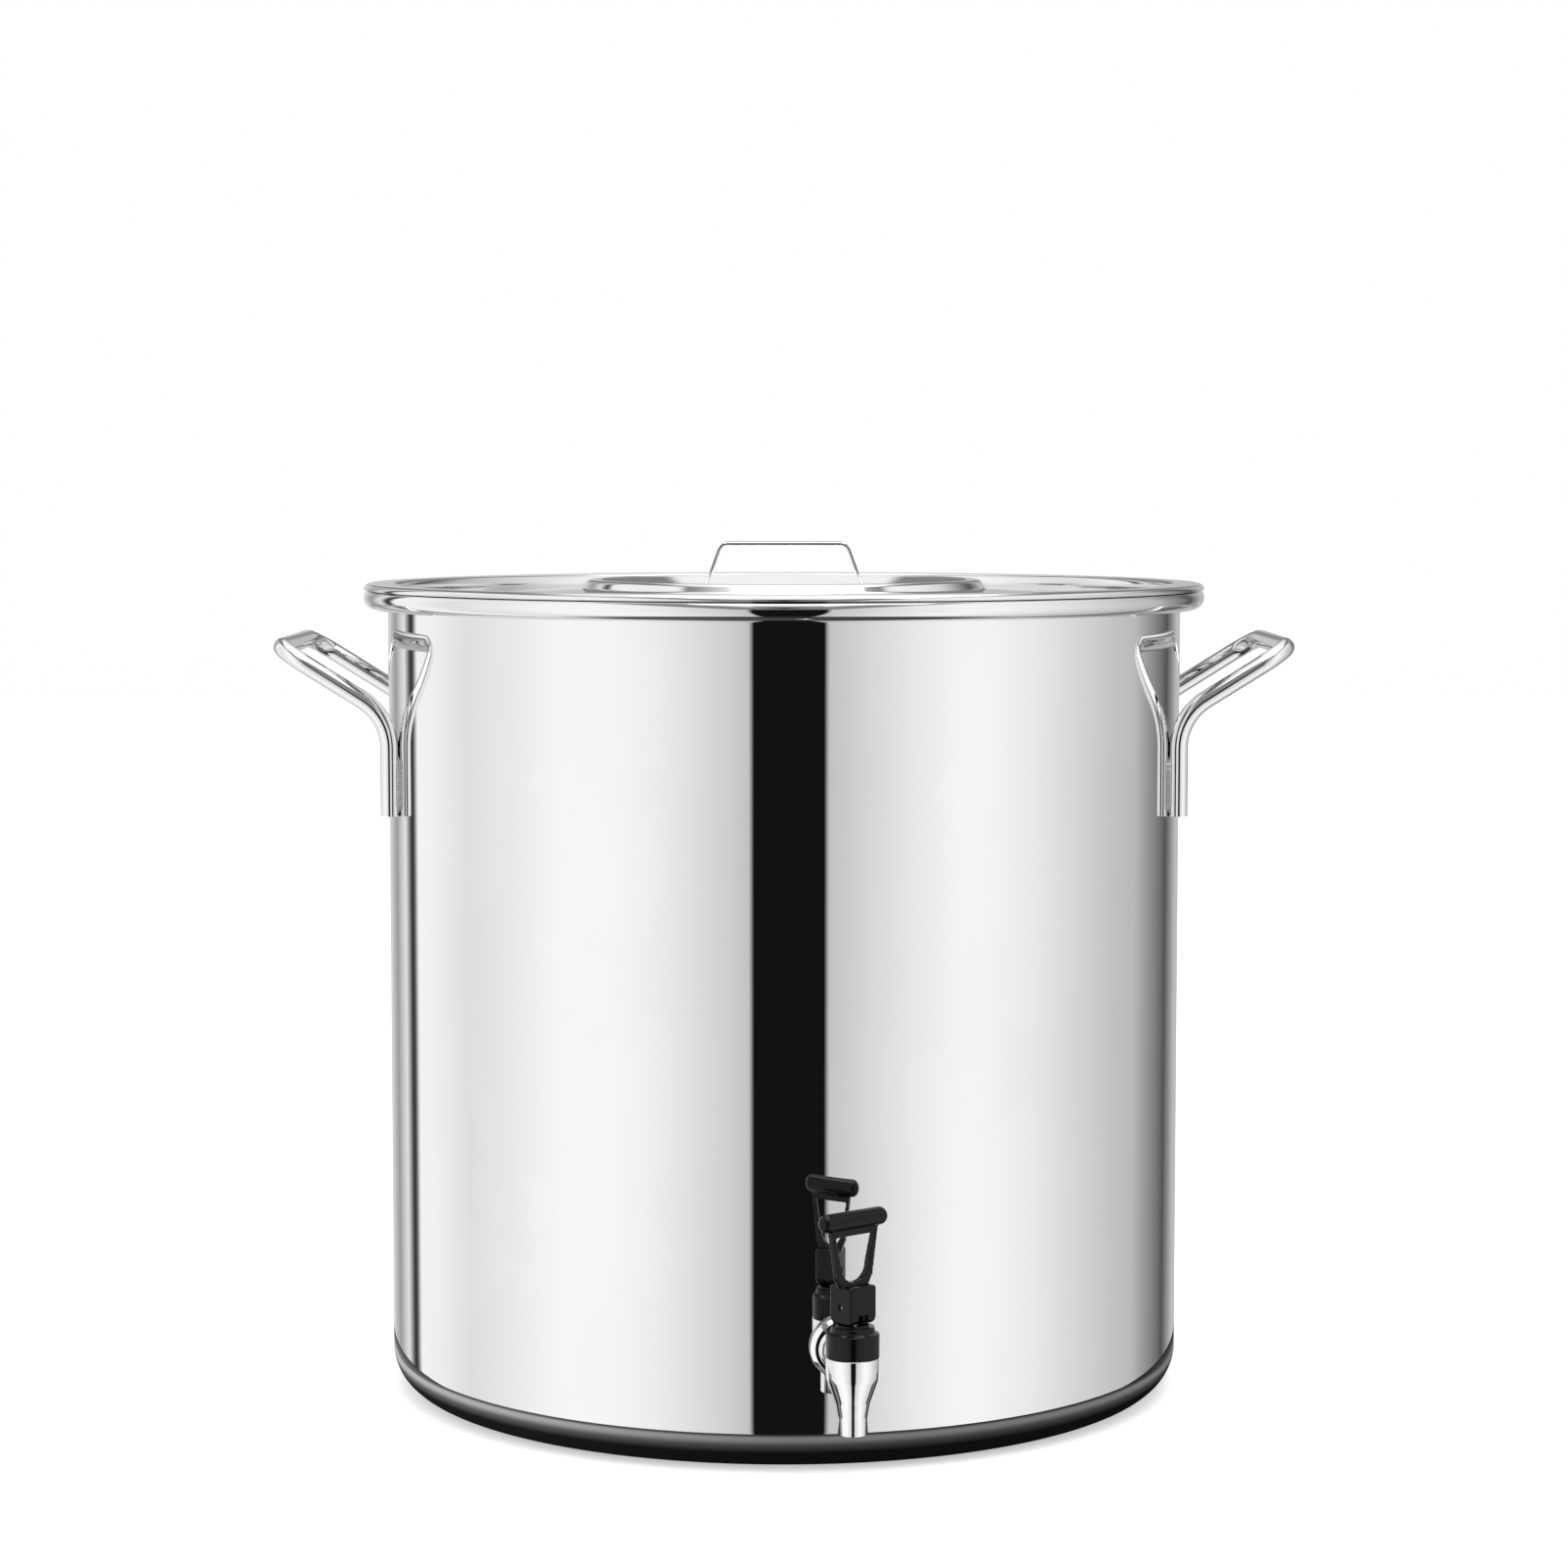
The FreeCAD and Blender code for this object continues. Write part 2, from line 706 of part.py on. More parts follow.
def make_lock_nut(doc, s):
    """The hexagon nut that pulls the tap tight from inside the pot."""
    start = s.inner_washer_face + s.backing_thickness
    prism = doc.addObject("Part::Prism", "nut_prism")
    prism.Polygon = 6
    bind(prism, "Circumradius", s.nut_flats / math.sqrt(3))
    bind(prism, "Height", s.nut_thickness)
    prism.Placement.Rotation = FreeCAD.Rotation(FreeCAD.Vector(1, 0, 0), -90)
    bind(prism, "Placement.Base.y", start)
    bind(prism, "Placement.Base.z", s.shank_level)
    hole = cylinder(
        doc, "nut_hole", s.thread_diameter, s.nut_thickness + s.cut_overlap * 2,
        start - s.cut_overlap, s.shank_level, "y")
    item = combine(doc, "Cut", "lock_nut", prism, hole)
    place_on_tap(item, s)
    return item


def make_tap_bonnet(doc, s):
    """The black screw cap over the valve chamber, with room for the spring and a stem bore."""
    body = turned(doc, "tap_bonnet", [
        (s.bonnet_bore / 2, s.body_top),
        (s.bonnet_diameter / 2, s.body_top),
        (s.bonnet_diameter / 2, s.bonnet_full_top),
        (s.bonnet_cone_diameter / 2, s.bonnet_cone_top),
        (s.bonnet_cap_diameter / 2, s.bonnet_cap_top),
        (s.bonnet_neck / 2, s.bonnet_cap_top),
        (s.bonnet_neck / 2, s.bonnet_top),
        (s.stem_bore / 2, s.bonnet_top),
        (s.stem_bore / 2, s.spring_roof),
        (s.spring_room / 2, s.spring_roof),
        (s.spring_room / 2, s.bonnet_shoulder),
        (s.bonnet_bore / 2, s.bonnet_shoulder),
    ])
    place_on_tap(body, s)
    return body


def make_bonnet_ring(doc, s):
    """The O-ring between the body's neck and the bonnet's shoulder."""
    item = doc.addObject("Part::Torus", "bonnet_o_ring")
    item.Label = "bonnet_o_ring"
    bind(item, "Radius1", s.ring_radius)
    bind(item, "Radius2", s.ring_section / 2)
    place_on_tap(item, s)
    bind(item, "Placement.Base.z", (s.neck_top + s.bonnet_shoulder) / 2)
    return item


# ---------------------------------------------------------------- tap, moving parts

def make_valve_seal(doc, s):
    """The silicone seat cup on the foot of the stem, which closes the nozzle."""
    foot_top = s.stem_bottom + s.stem_foot_height
    body = turned(doc, "valve_seal", [
        (0.0, s.seat_level + s.seat_gap),
        (s.cup_diameter / 2, s.seat_level + s.seat_gap),
        (s.cup_diameter / 2, s.cup_top),
        (s.stem_diameter / 2 + s.seat_gap, s.cup_top),
        (s.stem_diameter / 2 + s.seat_gap, foot_top + s.seat_gap),
        (s.stem_foot / 2 + s.seat_gap, foot_top + s.seat_gap),
        (s.stem_foot / 2 + s.seat_gap, s.stem_bottom - s.seat_gap),
        (0.0, s.stem_bottom - s.seat_gap),
    ])
    place_on_tap(body, s)
    return body


def make_valve_stem(doc, s):
    """The valve stem: a foot in the seal, a spring seat, a rod and a cross hole for the pin."""
    foot_top = s.stem_bottom + s.stem_foot_height
    seat_top = s.spring_seat_level + s.spring_seat_height
    rod = s.stem_diameter / 2
    body = turned(doc, "valve_stem", [
        (0.0, s.stem_bottom),
        (s.stem_foot / 2, s.stem_bottom),
        (s.stem_foot / 2, foot_top),
        (rod, foot_top),
        (rod, s.spring_seat_level),
        (s.spring_seat_diameter / 2, s.spring_seat_level),
        (s.spring_seat_diameter / 2, seat_top),
        (rod, seat_top),
        (rod, s.stem_top),
        (0.0, s.stem_top),
    ])
    before = volume_now(doc, body)
    eye = new_sketch(body, "YZ_Plane", "stem_eye_circle")
    draw_circle(eye, s.pin_diameter + s.pin_fit_in_stem, 0.0, s.pin_level)
    cut = extrude(body, "Pocket", eye, "stem_eye", s.stem_diameter * 2, symmetric=True)
    check_cut(doc, body, cut, before)
    place_on_tap(body, s, s.lever_turn)
    return body


def make_valve_spring(doc, s):
    """The compression spring that holds the seal shut, between the spring seat and the bonnet."""
    wire = s.spring_wire.value
    radius = s.spring_radius.value
    bottom = s.spring_seat_level.value + s.spring_seat_height.value + wire / 2 + s.spring_gap.value
    top = s.spring_roof.value - wire / 2 - s.spring_gap.value
    pitch = (top - bottom) / s.spring_turns.value
    helix = Part.makeHelix(pitch, top - bottom, radius)
    helix.translate(FreeCAD.Vector(0, 0, bottom))
    start = FreeCAD.Vector(radius, 0, bottom)
    climb = FreeCAD.Vector(0, 2 * math.pi * radius, pitch).normalize()
    item = doc.addObject("Part::Feature", "valve_spring")
    item.Label = "valve_spring"
    item.Shape = sweep_round(Part.Wire(helix.Edges), start, climb, wire)
    angle = math.radians(s.tap_angle.value)
    reach = s.tap_reach.value
    item.Placement = FreeCAD.Placement(
        FreeCAD.Vector(reach * math.sin(angle), -reach * math.cos(angle), 0),
        FreeCAD.Rotation(FreeCAD.Vector(0, 0, 1), s.tap_angle.value))
    return item


def make_lever_pin(doc, s):
    """The cross pin on which the lever tilts."""
    item = doc.addObject("Part::Cylinder", "lever_pin_blank")
    bind(item, "Radius", s.pin_diameter / 2)
    bind(item, "Height", s.pin_length)
    item.Placement.Rotation = FreeCAD.Rotation(FreeCAD.Vector(0, 1, 0), 90)
    bind(item, "Placement.Base.x", -(s.pin_length / 2))
    bind(item, "Placement.Base.z", s.pin_level)
    pin = doc.addObject("Part::Chamfer", "lever_pin")
    pin.Label = "lever_pin"
    pin.Base = item
    doc.recompute()
    rims = [
        index for index, edge in enumerate(item.Shape.Edges, start=1)
        if edge.Curve.TypeId == "Part::GeomCircle"
    ]
    bevel = s.pin_chamfer.value
    pin.Edges = [(index, bevel, bevel) for index in rims]
    place_on_tap(pin, s, s.lever_turn)
    return pin


def make_tap_lever(doc, s):
    """The black lever: a block that rocks on the bonnet, an open loop and a cross bar."""
    body = new_body(doc, "tap_lever")
    half_depth = s.block_depth / 2
    foot = s.foot_rounding
    inner = half_depth - foot
    sole = s.block_bottom + foot
    side = new_sketch(body, "YZ_Plane", "block_side")
    draw_outline(side, [
        (-inner, s.block_bottom, -inner, sole),
        (inner, s.block_bottom),
        (half_depth, sole, inner, sole),
        (half_depth, s.block_top),
        (-half_depth, s.block_top),
        (-half_depth, sole),
    ])
    extrude(body, "Pad", side, "block", s.block_width, symmetric=True)

    def block_corner(edge):
        point = edge.CenterOfMass
        on_side = abs(abs(point.x) - s.block_width.value / 2) < 0.01
        return on_side or abs(point.z - s.block_top.value) < 0.01

    round_edges(doc, body, "block_corners", s.block_rounding, block_corner)
    frame = new_sketch(body, "XZ_Plane", "loop_frame")
    half_foot = s.loop_foot_width / 2
    half_hip = s.loop_hip_width / 2
    half_top = s.loop_top_width / 2
    draw_outline(frame, [
        (-half_hip, s.loop_hip_level),
        (-half_foot, s.block_top - s.block_rounding * 2),
        (half_foot, s.block_top - s.block_rounding * 2),
        (half_hip, s.loop_hip_level),
        (half_top, s.bar_level),
        (-half_top, s.bar_level),
    ])
    extrude(body, "Pad", frame, "loop", s.loop_thickness, symmetric=True)
    before = volume_now(doc, body)
    window = new_sketch(body, "XZ_Plane", "loop_window")
    nook = s.window_bottom_radius
    nook_level = s.window_bottom + nook
    half_window = s.window_top_width / 2
    draw_outline(window, [
        (-nook, nook_level),
        (0.0, s.window_bottom, 0.0, nook_level),
        (nook, nook_level, 0.0, nook_level),
        (half_window, s.window_top),
        (-half_window, s.window_top),
    ])
    cut = extrude(body, "Pocket", window, "loop_opening", s.block_depth, symmetric=True)
    check_cut(doc, body, cut, before)
    bar = new_sketch(body, "YZ_Plane", "bar_section")
    draw_circle(bar, s.bar_diameter, 0.0, s.bar_level)
    extrude(body, "Pad", bar, "bar", s.bar_length, symmetric=True)

    def bar_end(edge):
        return abs(abs(edge.CenterOfMass.x) - s.bar_length.value / 2) < 0.01

    round_edges(doc, body, "bar_ends", s.bar_rounding, bar_end)
    before = volume_now(doc, body)
    slot = new_sketch(body, "YZ_Plane", "stem_slot_side")
    lean = s.slot_rear / math.sqrt(2)
    below = s.block_bottom - s.cut_overlap
    draw_outline(slot, [
        (s.slot_rear, below),
        (s.slot_rear, s.pin_level),
        (-lean, s.pin_level + lean),
        (-s.slot_reach, s.pin_level + lean * 2 - s.slot_reach),
        (-s.slot_reach, below),
    ])
    cut = extrude(body, "Pocket", slot, "stem_slot", s.slot_width, symmetric=True)
    check_cut(doc, body, cut, before)
    before = volume_now(doc, body)
    room = new_sketch(body, "YZ_Plane", "stem_end_circle")
    draw_circle(room, s.stem_end_room * 2, 0.0, s.pin_level)
    cut = extrude(body, "Pocket", room, "stem_end_room", s.slot_width, symmetric=True)
    check_cut(doc, body, cut, before)
    before = volume_now(doc, body)
    hole = new_sketch(body, "YZ_Plane", "pin_hole_circle")
    draw_circle(hole, s.pin_diameter + s.pin_fit_in_lever, 0.0, s.pin_level)
    cut = extrude(body, "Pocket", hole, "pin_hole", s.block_width * 2, symmetric=True)
    check_cut(doc, body, cut, before)
    place_on_tap(body, s, s.lever_turn)
    return body


# ---------------------------------------------------------------- document

def make_sub_parts(doc, s):
    """Every sub-part of the kettle, in the order in which it is put together."""
    parts = [make_pot_shell(doc, s)]
    for side, turn in (("right", 0.0), ("left", 180.0)):
        parts.append(make_handle_loop(doc, s, side + "_handle_loop", turn))
    makers = [
        make_lid_shell,
        make_lid_strap,
        make_tap_body,
        make_tap_flange,
        make_outer_washer,
        make_inner_washer,
        make_backing_washer,
        make_lock_nut,
        make_tap_bonnet,
        make_bonnet_ring,
        make_valve_seal,
        make_valve_stem,
        make_valve_spring,
        make_lever_pin,
        make_tap_lever,
    ]
    return parts + [make(doc, s) for make in makers]


def check_document(doc, parts):
    """Stop if any object failed or any sub-part's shape is missing or bad."""
    for item in doc.Objects:
        if "Invalid" in item.State or "Error" in item.State:
            raise RuntimeError(f"{item.Label} failed: {item.State}")
    for part in parts:
        shape = part.Shape
        if shape.isNull() or not shape.isValid() or shape.Volume <= 0:
            raise RuntimeError(f"{part.Label} has no valid shape")
        if len(shape.Solids) != 1:
            raise RuntimeError(f"{part.Label} is {len(shape.Solids)} solids")


def main():
    doc = FreeCAD.newDocument("brew_kettle")
    make_sheet(doc)
    sizes = SimpleNamespace(
        **{name: Size(value, "Sizes." + name) for name, value in DIMENSIONS.items()})
    parts = make_sub_parts(doc, sizes)
    doc.recompute()
    check_document(doc, parts)
    os.makedirs("parts", exist_ok=True)
    for part in parts:
        part.Shape.exportStep(f"parts/{part.Label}.step")
        box = part.Shape.BoundBox
        print(
            f"{part.Label}: {part.Shape.Volume / 1000:.2f} cm3,"
            f" x {box.XMin:.1f}..{box.XMax:.1f}, y {box.YMin:.1f}..{box.YMax:.1f},"
            f" z {box.ZMin:.1f}..{box.ZMax:.1f}")


main()
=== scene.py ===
import json
import math

import bmesh
import bpy
from mathutils import Matrix, Vector


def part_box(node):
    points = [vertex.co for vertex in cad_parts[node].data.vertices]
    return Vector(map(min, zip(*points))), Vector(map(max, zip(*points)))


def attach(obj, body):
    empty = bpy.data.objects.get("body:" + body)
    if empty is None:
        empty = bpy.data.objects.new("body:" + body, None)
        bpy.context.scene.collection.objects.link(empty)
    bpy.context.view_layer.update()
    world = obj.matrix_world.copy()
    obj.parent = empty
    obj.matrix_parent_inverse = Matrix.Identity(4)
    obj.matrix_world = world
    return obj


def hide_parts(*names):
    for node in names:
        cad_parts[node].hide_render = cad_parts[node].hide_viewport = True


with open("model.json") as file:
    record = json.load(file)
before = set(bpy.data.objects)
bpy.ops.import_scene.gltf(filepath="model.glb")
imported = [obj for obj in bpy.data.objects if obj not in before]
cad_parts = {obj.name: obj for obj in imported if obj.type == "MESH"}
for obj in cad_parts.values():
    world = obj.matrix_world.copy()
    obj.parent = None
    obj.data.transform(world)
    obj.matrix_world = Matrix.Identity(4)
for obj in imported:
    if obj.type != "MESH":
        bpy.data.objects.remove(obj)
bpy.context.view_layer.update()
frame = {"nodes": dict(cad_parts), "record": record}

# ---------------------------------------------------------------- sizes, in metres
MM = 0.001
POT_RADIUS = 199 * MM
WALL = 1.2 * MM
CORNER_RADIUS = 20 * MM
RIM_ROLL = 5.6 * MM
RIM_RETURN = 2.8 * MM
LID_SHEET = 1.0 * MM
LID_GAP = 0.4 * MM
LID_ROLL = 3.0 * MM
ROUND_STEPS = 288
ROD_RADIUS = 4.5 * MM
LEG_OFFSET = 63 * MM
ARM_SLOPE = math.radians(32)
WALL_HOLE_RADIUS = 8.2 * MM


def middle_of(node_name):
    """The middle of a CAD node's box at rest."""
    low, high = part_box(node_name)
    return [(a + b) / 2 for a, b in zip(low, high)]


TAP_X, TAP_Y = middle_of("valve_stem")[:2]
TAP_ANGLE = math.atan2(TAP_X, -TAP_Y)
SHANK_LEVEL = middle_of("lock_nut")[2]
TAP_PLACE = Matrix.Translation((TAP_X, TAP_Y, 0)) @ Matrix.Rotation(TAP_ANGLE, 4, "Z")
LAID_BACK = Matrix.Rotation(-math.pi / 2, 4, "X")
SHANK_PLACE = TAP_PLACE @ Matrix.Translation((0, 0, SHANK_LEVEL)) @ LAID_BACK


# ---------------------------------------------------------------- outlines
def arc(centre, radius, start, end, steps):
    """Points of an arc in a half section, angles in degrees, both ends included."""
    points = []
    for index in range(steps + 1):
        angle = math.radians(start + (end - start) * index / steps)
        points.append((centre[0] + radius * math.cos(angle), centre[1] + radius * math.sin(angle)))
    return points


def line(start, end, steps):
    """Points of a straight run, both ends included."""
    across, rise = end[0] - start[0], end[1] - start[1]
    return [
        (start[0] + across * index / steps, start[1] + rise * index / steps)
        for index in range(steps + 1)
    ]


def rounded(corners, steps=6):
    """An outline through corners (a, b, radius), each corner rounded to its radius."""
    points = []
    for index, (a, b, radius) in enumerate(corners):
        if radius <= 0 or index in (0, len(corners) - 1):
            points.append((a, b))
            continue
        corner = Vector((a, b))
        into = (Vector(corners[index - 1][:2]) - corner).normalized()
        away = (Vector(corners[index + 1][:2]) - corner).normalized()
        half = math.acos(max(-1, min(1, into.dot(away)))) / 2
        reach = radius / math.tan(half)
        centre = corner + (into + away).normalized() * (radius / math.sin(half))
        first = corner + into * reach - centre
        last = corner + away * reach - centre
        turn = math.atan2(first.x * last.y - first.y * last.x, first.dot(last))
        for step in range(steps + 1):
            angle = turn * step / steps
            spot = centre + Matrix.Rotation(angle, 2) @ first
            points.append((spot.x, spot.y))
    return points


def offset_outline(points, distance):
    """The outline moved sideways by a distance, to the right of its direction."""
    moved = []
    for index, point in enumerate(points):
        before = Vector(points[max(index - 1, 0)])
        after = Vector(points[min(index + 1, len(points) - 1)])
        along = (after - before).normalized()
        moved.append((point[0] + along.y * distance, point[1] - along.x * distance))
    return moved


# ---------------------------------------------------------------- mesh builders
def mesh_object(name, mesh):
    piece = bpy.data.objects.new(name, mesh)
    bpy.context.scene.collection.objects.link(piece)
    return piece


def lathe(name, outline, segments=ROUND_STEPS, closed=True, centre=(0, 0)):
    """A turned piece about an upright axis. Points on the axis become single vertices."""
    mesh = bmesh.new()
    rings = []
    for radius, level in outline:
        if radius < 1e-7:
            rings.append([mesh.verts.new((centre[0], centre[1], level))])
            continue
        ring = []
        for step in range(segments):
            angle = 2 * math.pi * step / segments
            ring.append(mesh.verts.new((
                centre[0] + radius * math.cos(angle), centre[1] + radius * math.sin(angle), level)))
        rings.append(ring)
    count = len(rings) if closed else len(rings) - 1
    for index in range(count):
        lower = rings[index]
        upper = rings[(index + 1) % len(rings)]
        if len(lower) == 1 and len(upper) == 1:
            continue
        for step in range(segments):
            following = (step + 1) % segments
            if len(lower) == 1:
                mesh.faces.new((lower[0], upper[following], upper[step]))
            elif len(upper) == 1:
                mesh.faces.new((lower[step], lower[following], upper[0]))
            else:
                mesh.faces.new((lower[step], lower[following], upper[following], upper[step]))
    bmesh.ops.recalc_face_normals(mesh, faces=mesh.faces)
    data = bpy.data.meshes.new(name)
    mesh.to_mesh(data)
    mesh.free()
    return mesh_object(name, data)


def smooth(piece, angle=40):
    """Smooth shading that keeps edges sharper than the angle."""
    for face in piece.data.polygons:
        face.use_smooth = True
    piece.data.set_sharp_from_angle(angle=math.radians(angle))


def join_rings(mesh, rings):
    """Faces between neighbouring rings of vertices, and a cap on each end."""
    for lower, upper in zip(rings, rings[1:]):
        for step in range(len(lower)):
            following = (step + 1) % len(lower)
            mesh.faces.new((lower[step], lower[following], upper[following], upper[step]))
    mesh.faces.new(rings[0])
    mesh.faces.new(rings[-1])


def finished(name, mesh, angle=40):
    """An object from an edited mesh, with outward normals and smooth shading."""
    bmesh.ops.recalc_face_normals(mesh, faces=mesh.faces)
    data = bpy.data.meshes.new(name)
    mesh.to_mesh(data)
    mesh.free()
    piece = mesh_object(name, data)
    smooth(piece, angle)
    return piece


def scaled(outline):
    """An outline in millimetres, turned into metres."""
    return [(radius * MM, level * MM) for radius, level in outline]


# ---------------------------------------------------------------- pot and lid
def pot_outline():
    """The closed half section of the pot: base, corner, wall and rolled rim."""
    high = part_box("pot_shell")[1]
    top = high[2]
    flat_end = high[0] - RIM_ROLL
    outside = POT_RADIUS
    inside = outside - WALL
    roll_centre = inside + RIM_ROLL
    level = top - RIM_ROLL
    inner_roll = RIM_ROLL - WALL
    foot = outside - CORNER_RADIUS
    points = [(0, 0)]
    points += line((foot * 0.25, 0), (foot, 0), 8)
    points += arc((foot, CORNER_RADIUS), CORNER_RADIUS, -90, 0, 24)[1:]
    points += line((outside, CORNER_RADIUS), (outside, level), 40)[1:]
    points += arc((roll_centre, level), inner_roll, 180, 90, 10)[1:]
    points += arc((flat_end, level), inner_roll, 90, -90, 16)
    return_end = roll_centre - RIM_RETURN
    points += [(return_end, level - inner_roll), (return_end, level - RIM_ROLL)]
    points += arc((flat_end, level), RIM_ROLL, -90, 90, 28)
    points += arc((roll_centre, level), RIM_ROLL, 90, 180, 16)
    points += line((inside, level), (inside, CORNER_RADIUS), 40)[1:]
    points += arc((foot, CORNER_RADIUS), CORNER_RADIUS - WALL, 0, -90, 24)[1:]
    points += line((foot, WALL), (foot * 0.25, WALL), 8)[1:]
    points += [(0, WALL)]
    return points


def make_pot():
    """The mirror-polished pot, with the hole for the tap's shank."""
    pot = lathe("kettle_pot", pot_outline())
    cutter_mesh = bmesh.new()
    hole_depth = 30 * MM
    through_wall = Matrix.Translation((0, 0, -TAP_Y / math.cos(TAP_ANGLE) - POT_RADIUS))
    bmesh.ops.create_cone(
        cutter_mesh, cap_ends=True, segments=64, radius1=WALL_HOLE_RADIUS,
        radius2=WALL_HOLE_RADIUS, depth=hole_depth, matrix=SHANK_PLACE @ through_wall)
    data = bpy.data.meshes.new("shank_hole")
    cutter_mesh.to_mesh(data)
    cutter_mesh.free()
    cutter = mesh_object("shank_hole", data)
    cut = pot.modifiers.new("shank_hole", "BOOLEAN")
    cut.operation = "DIFFERENCE"
    cut.solver = "EXACT"
    cut.object = cutter
    bpy.context.view_layer.objects.active = pot
    pot.select_set(True)
    bpy.ops.object.modifier_apply(modifier=cut.name)
    bpy.data.objects.remove(cutter)
    smooth(pot, 50)
    return pot


def finish_inside(pot, outside_metal, inside_metal):
    """The outside and rim are mirror polished, and the inside keeps its satin drawing lines."""
    pot.data.materials.clear()
    pot.data.materials.append(outside_metal)
    pot.data.materials.append(inside_metal)
    rim_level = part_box("pot_shell")[1][2] - 2 * RIM_ROLL
    for face in pot.data.polygons:
        radius = math.hypot(face.center.x, face.center.y)
        outward = face.normal.x * face.center.x + face.normal.y * face.center.y
        on_floor = face.normal.z > 0.9 and face.center.z < CORNER_RADIUS
        on_wall = outward < 0 and radius < POT_RADIUS and face.center.z < rim_level
        face.material_index = 1 if on_floor or on_wall else 0


def lid_upper_outline():
    """The upper face of the lid's pressing, from its middle out to the flange."""
    low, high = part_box("lid_shell")
    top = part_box("pot_shell")[1][2]
    flange = top + LID_GAP + LID_SHEET
    gutter = low[2] + LID_SHEET
    plug = 195.4 * MM
    well = top - 8 * MM
    plateau_inner, plateau_outer = top - 2 * MM, top - 4 * MM
    corners = [
        (0, well, 0),
        (72 * MM, well, 6 * MM),
        (86 * MM, plateau_inner, 4 * MM),
        (93 * MM, high[2], 3 * MM),
        (99 * MM, high[2], 3 * MM),
        (102 * MM, plateau_inner, 3 * MM),
        (146 * MM, plateau_outer, 6 * MM),
        (160 * MM, gutter, 5 * MM),
        (191 * MM, gutter, 5 * MM),
        (plug, gutter + 6 * MM, 5 * MM),
        (plug, flange, 2.5 * MM),
        (high[0] - LID_ROLL, flange, 0),
    ]
    return rounded(corners, steps=8)


def make_lid():
    """The pressed lid: one sheet of even thickness from the well to the turned-down edge."""
    upper = lid_upper_outline()
    longest_side = 4 * MM
    spaced = [upper[0]]
    for point in upper[1:]:
        gap = Vector(point) - Vector(spaced[-1])
        steps = max(1, int(gap.length / longest_side))
        spaced += line(spaced[-1], point, steps)[1:]
    centre = (spaced[-1][0], spaced[-1][1] - LID_ROLL)
    spaced += arc(centre, LID_ROLL, 90, 4, 10)[1:]
    lower = offset_outline(spaced, LID_SHEET)
    lower[0] = (0, lower[0][1])
    return_edge = [
        ((spaced[-1][0] + lower[-1][0]) / 2, spaced[-1][1] - LID_SHEET * 0.35),
    ]
    lid = lathe("lid_pressing", spaced + return_edge + lower[::-1])
    smooth(lid, 60)
    return lid


# ---------------------------------------------------------------- rods and straps
def swept_rod(name, runs, radius, segments=32):
    """A round rod along a path of points, with closed ends."""
    curve = bpy.data.curves.new(name, "CURVE")
    curve.dimensions = "3D"
    curve.bevel_depth = radius
    curve.bevel_resolution = segments // 4
    curve.use_fill_caps = True
    spline = curve.splines.new("POLY")
    spline.points.add(len(runs) - 1)
    for point, place in zip(spline.points, runs):
        point.co = (*place, 1)
    shaped = bpy.data.objects.new(name + "_curve", curve)
    bpy.context.scene.collection.objects.link(shaped)
    graph = bpy.context.evaluated_depsgraph_get()
    data = bpy.data.meshes.new_from_object(shaped.evaluated_get(graph))
    bpy.data.objects.remove(shaped)
    data.name = name
    rod = mesh_object(name, data)
    smooth(rod, 40)
    return rod


def bent_run(points, radii, steps=14):
    """A path in space through points, with each inner point rounded to a radius."""
    path = [Vector(points[0])]
    for index, radius in enumerate(radii, start=1):
        corner = Vector(points[index])
        into = (Vector(points[index - 1]) - corner).normalized()
        away = (Vector(points[index + 1]) - corner).normalized()
        half = into.angle(away) / 2
        reach = radius / math.tan(half)
        centre = corner + (into + away).normalized() * (radius / math.sin(half))
        first = corner + into * reach - centre
        last = corner + away * reach - centre
        turn = first.angle(last)
        for step in range(steps + 1):
            share = step / steps
            weight = math.sin(turn)
            from_first = first * (math.sin((1 - share) * turn) / weight)
            from_last = last * (math.sin(share * turn) / weight)
            path.append(centre + (from_first + from_last))
    path.append(Vector(points[-1]))
    return path


def handle_leg_place(side):
    """The middle of a handle leg's section at the back, and the unit vector out of the wall."""
    seat = POT_RADIUS + ROD_RADIUS - 0.1 * MM
    place = Vector((side * math.sqrt(seat ** 2 - LEG_OFFSET ** 2), LEG_OFFSET, 0))
    return place, place.normalized()


def make_handle_loop(side, name):
    """One handle's bent rod, on the right (+1) or the left (-1)."""
    low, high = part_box(name)
    leg = handle_leg_place(side)[0].x
    reach = side * (max(abs(low[0]), abs(high[0])) - ROD_RADIUS)
    grip = high[2] - ROD_RADIUS
    bend = grip - abs(reach - leg) * math.tan(ARM_SLOPE)
    points = [
        (leg, -LEG_OFFSET, low[2]),
        (leg, -LEG_OFFSET, bend),
        (reach, -LEG_OFFSET, grip),
        (reach, LEG_OFFSET, grip),
        (leg, LEG_OFFSET, bend),
        (leg, LEG_OFFSET, low[2]),
    ]
    leg_bend, grip_bend = 28 * MM, 15 * MM
    run = bent_run(points, [leg_bend, grip_bend, grip_bend, leg_bend])
    return swept_rod(name.replace("loop", "rod"), run, ROD_RADIUS)


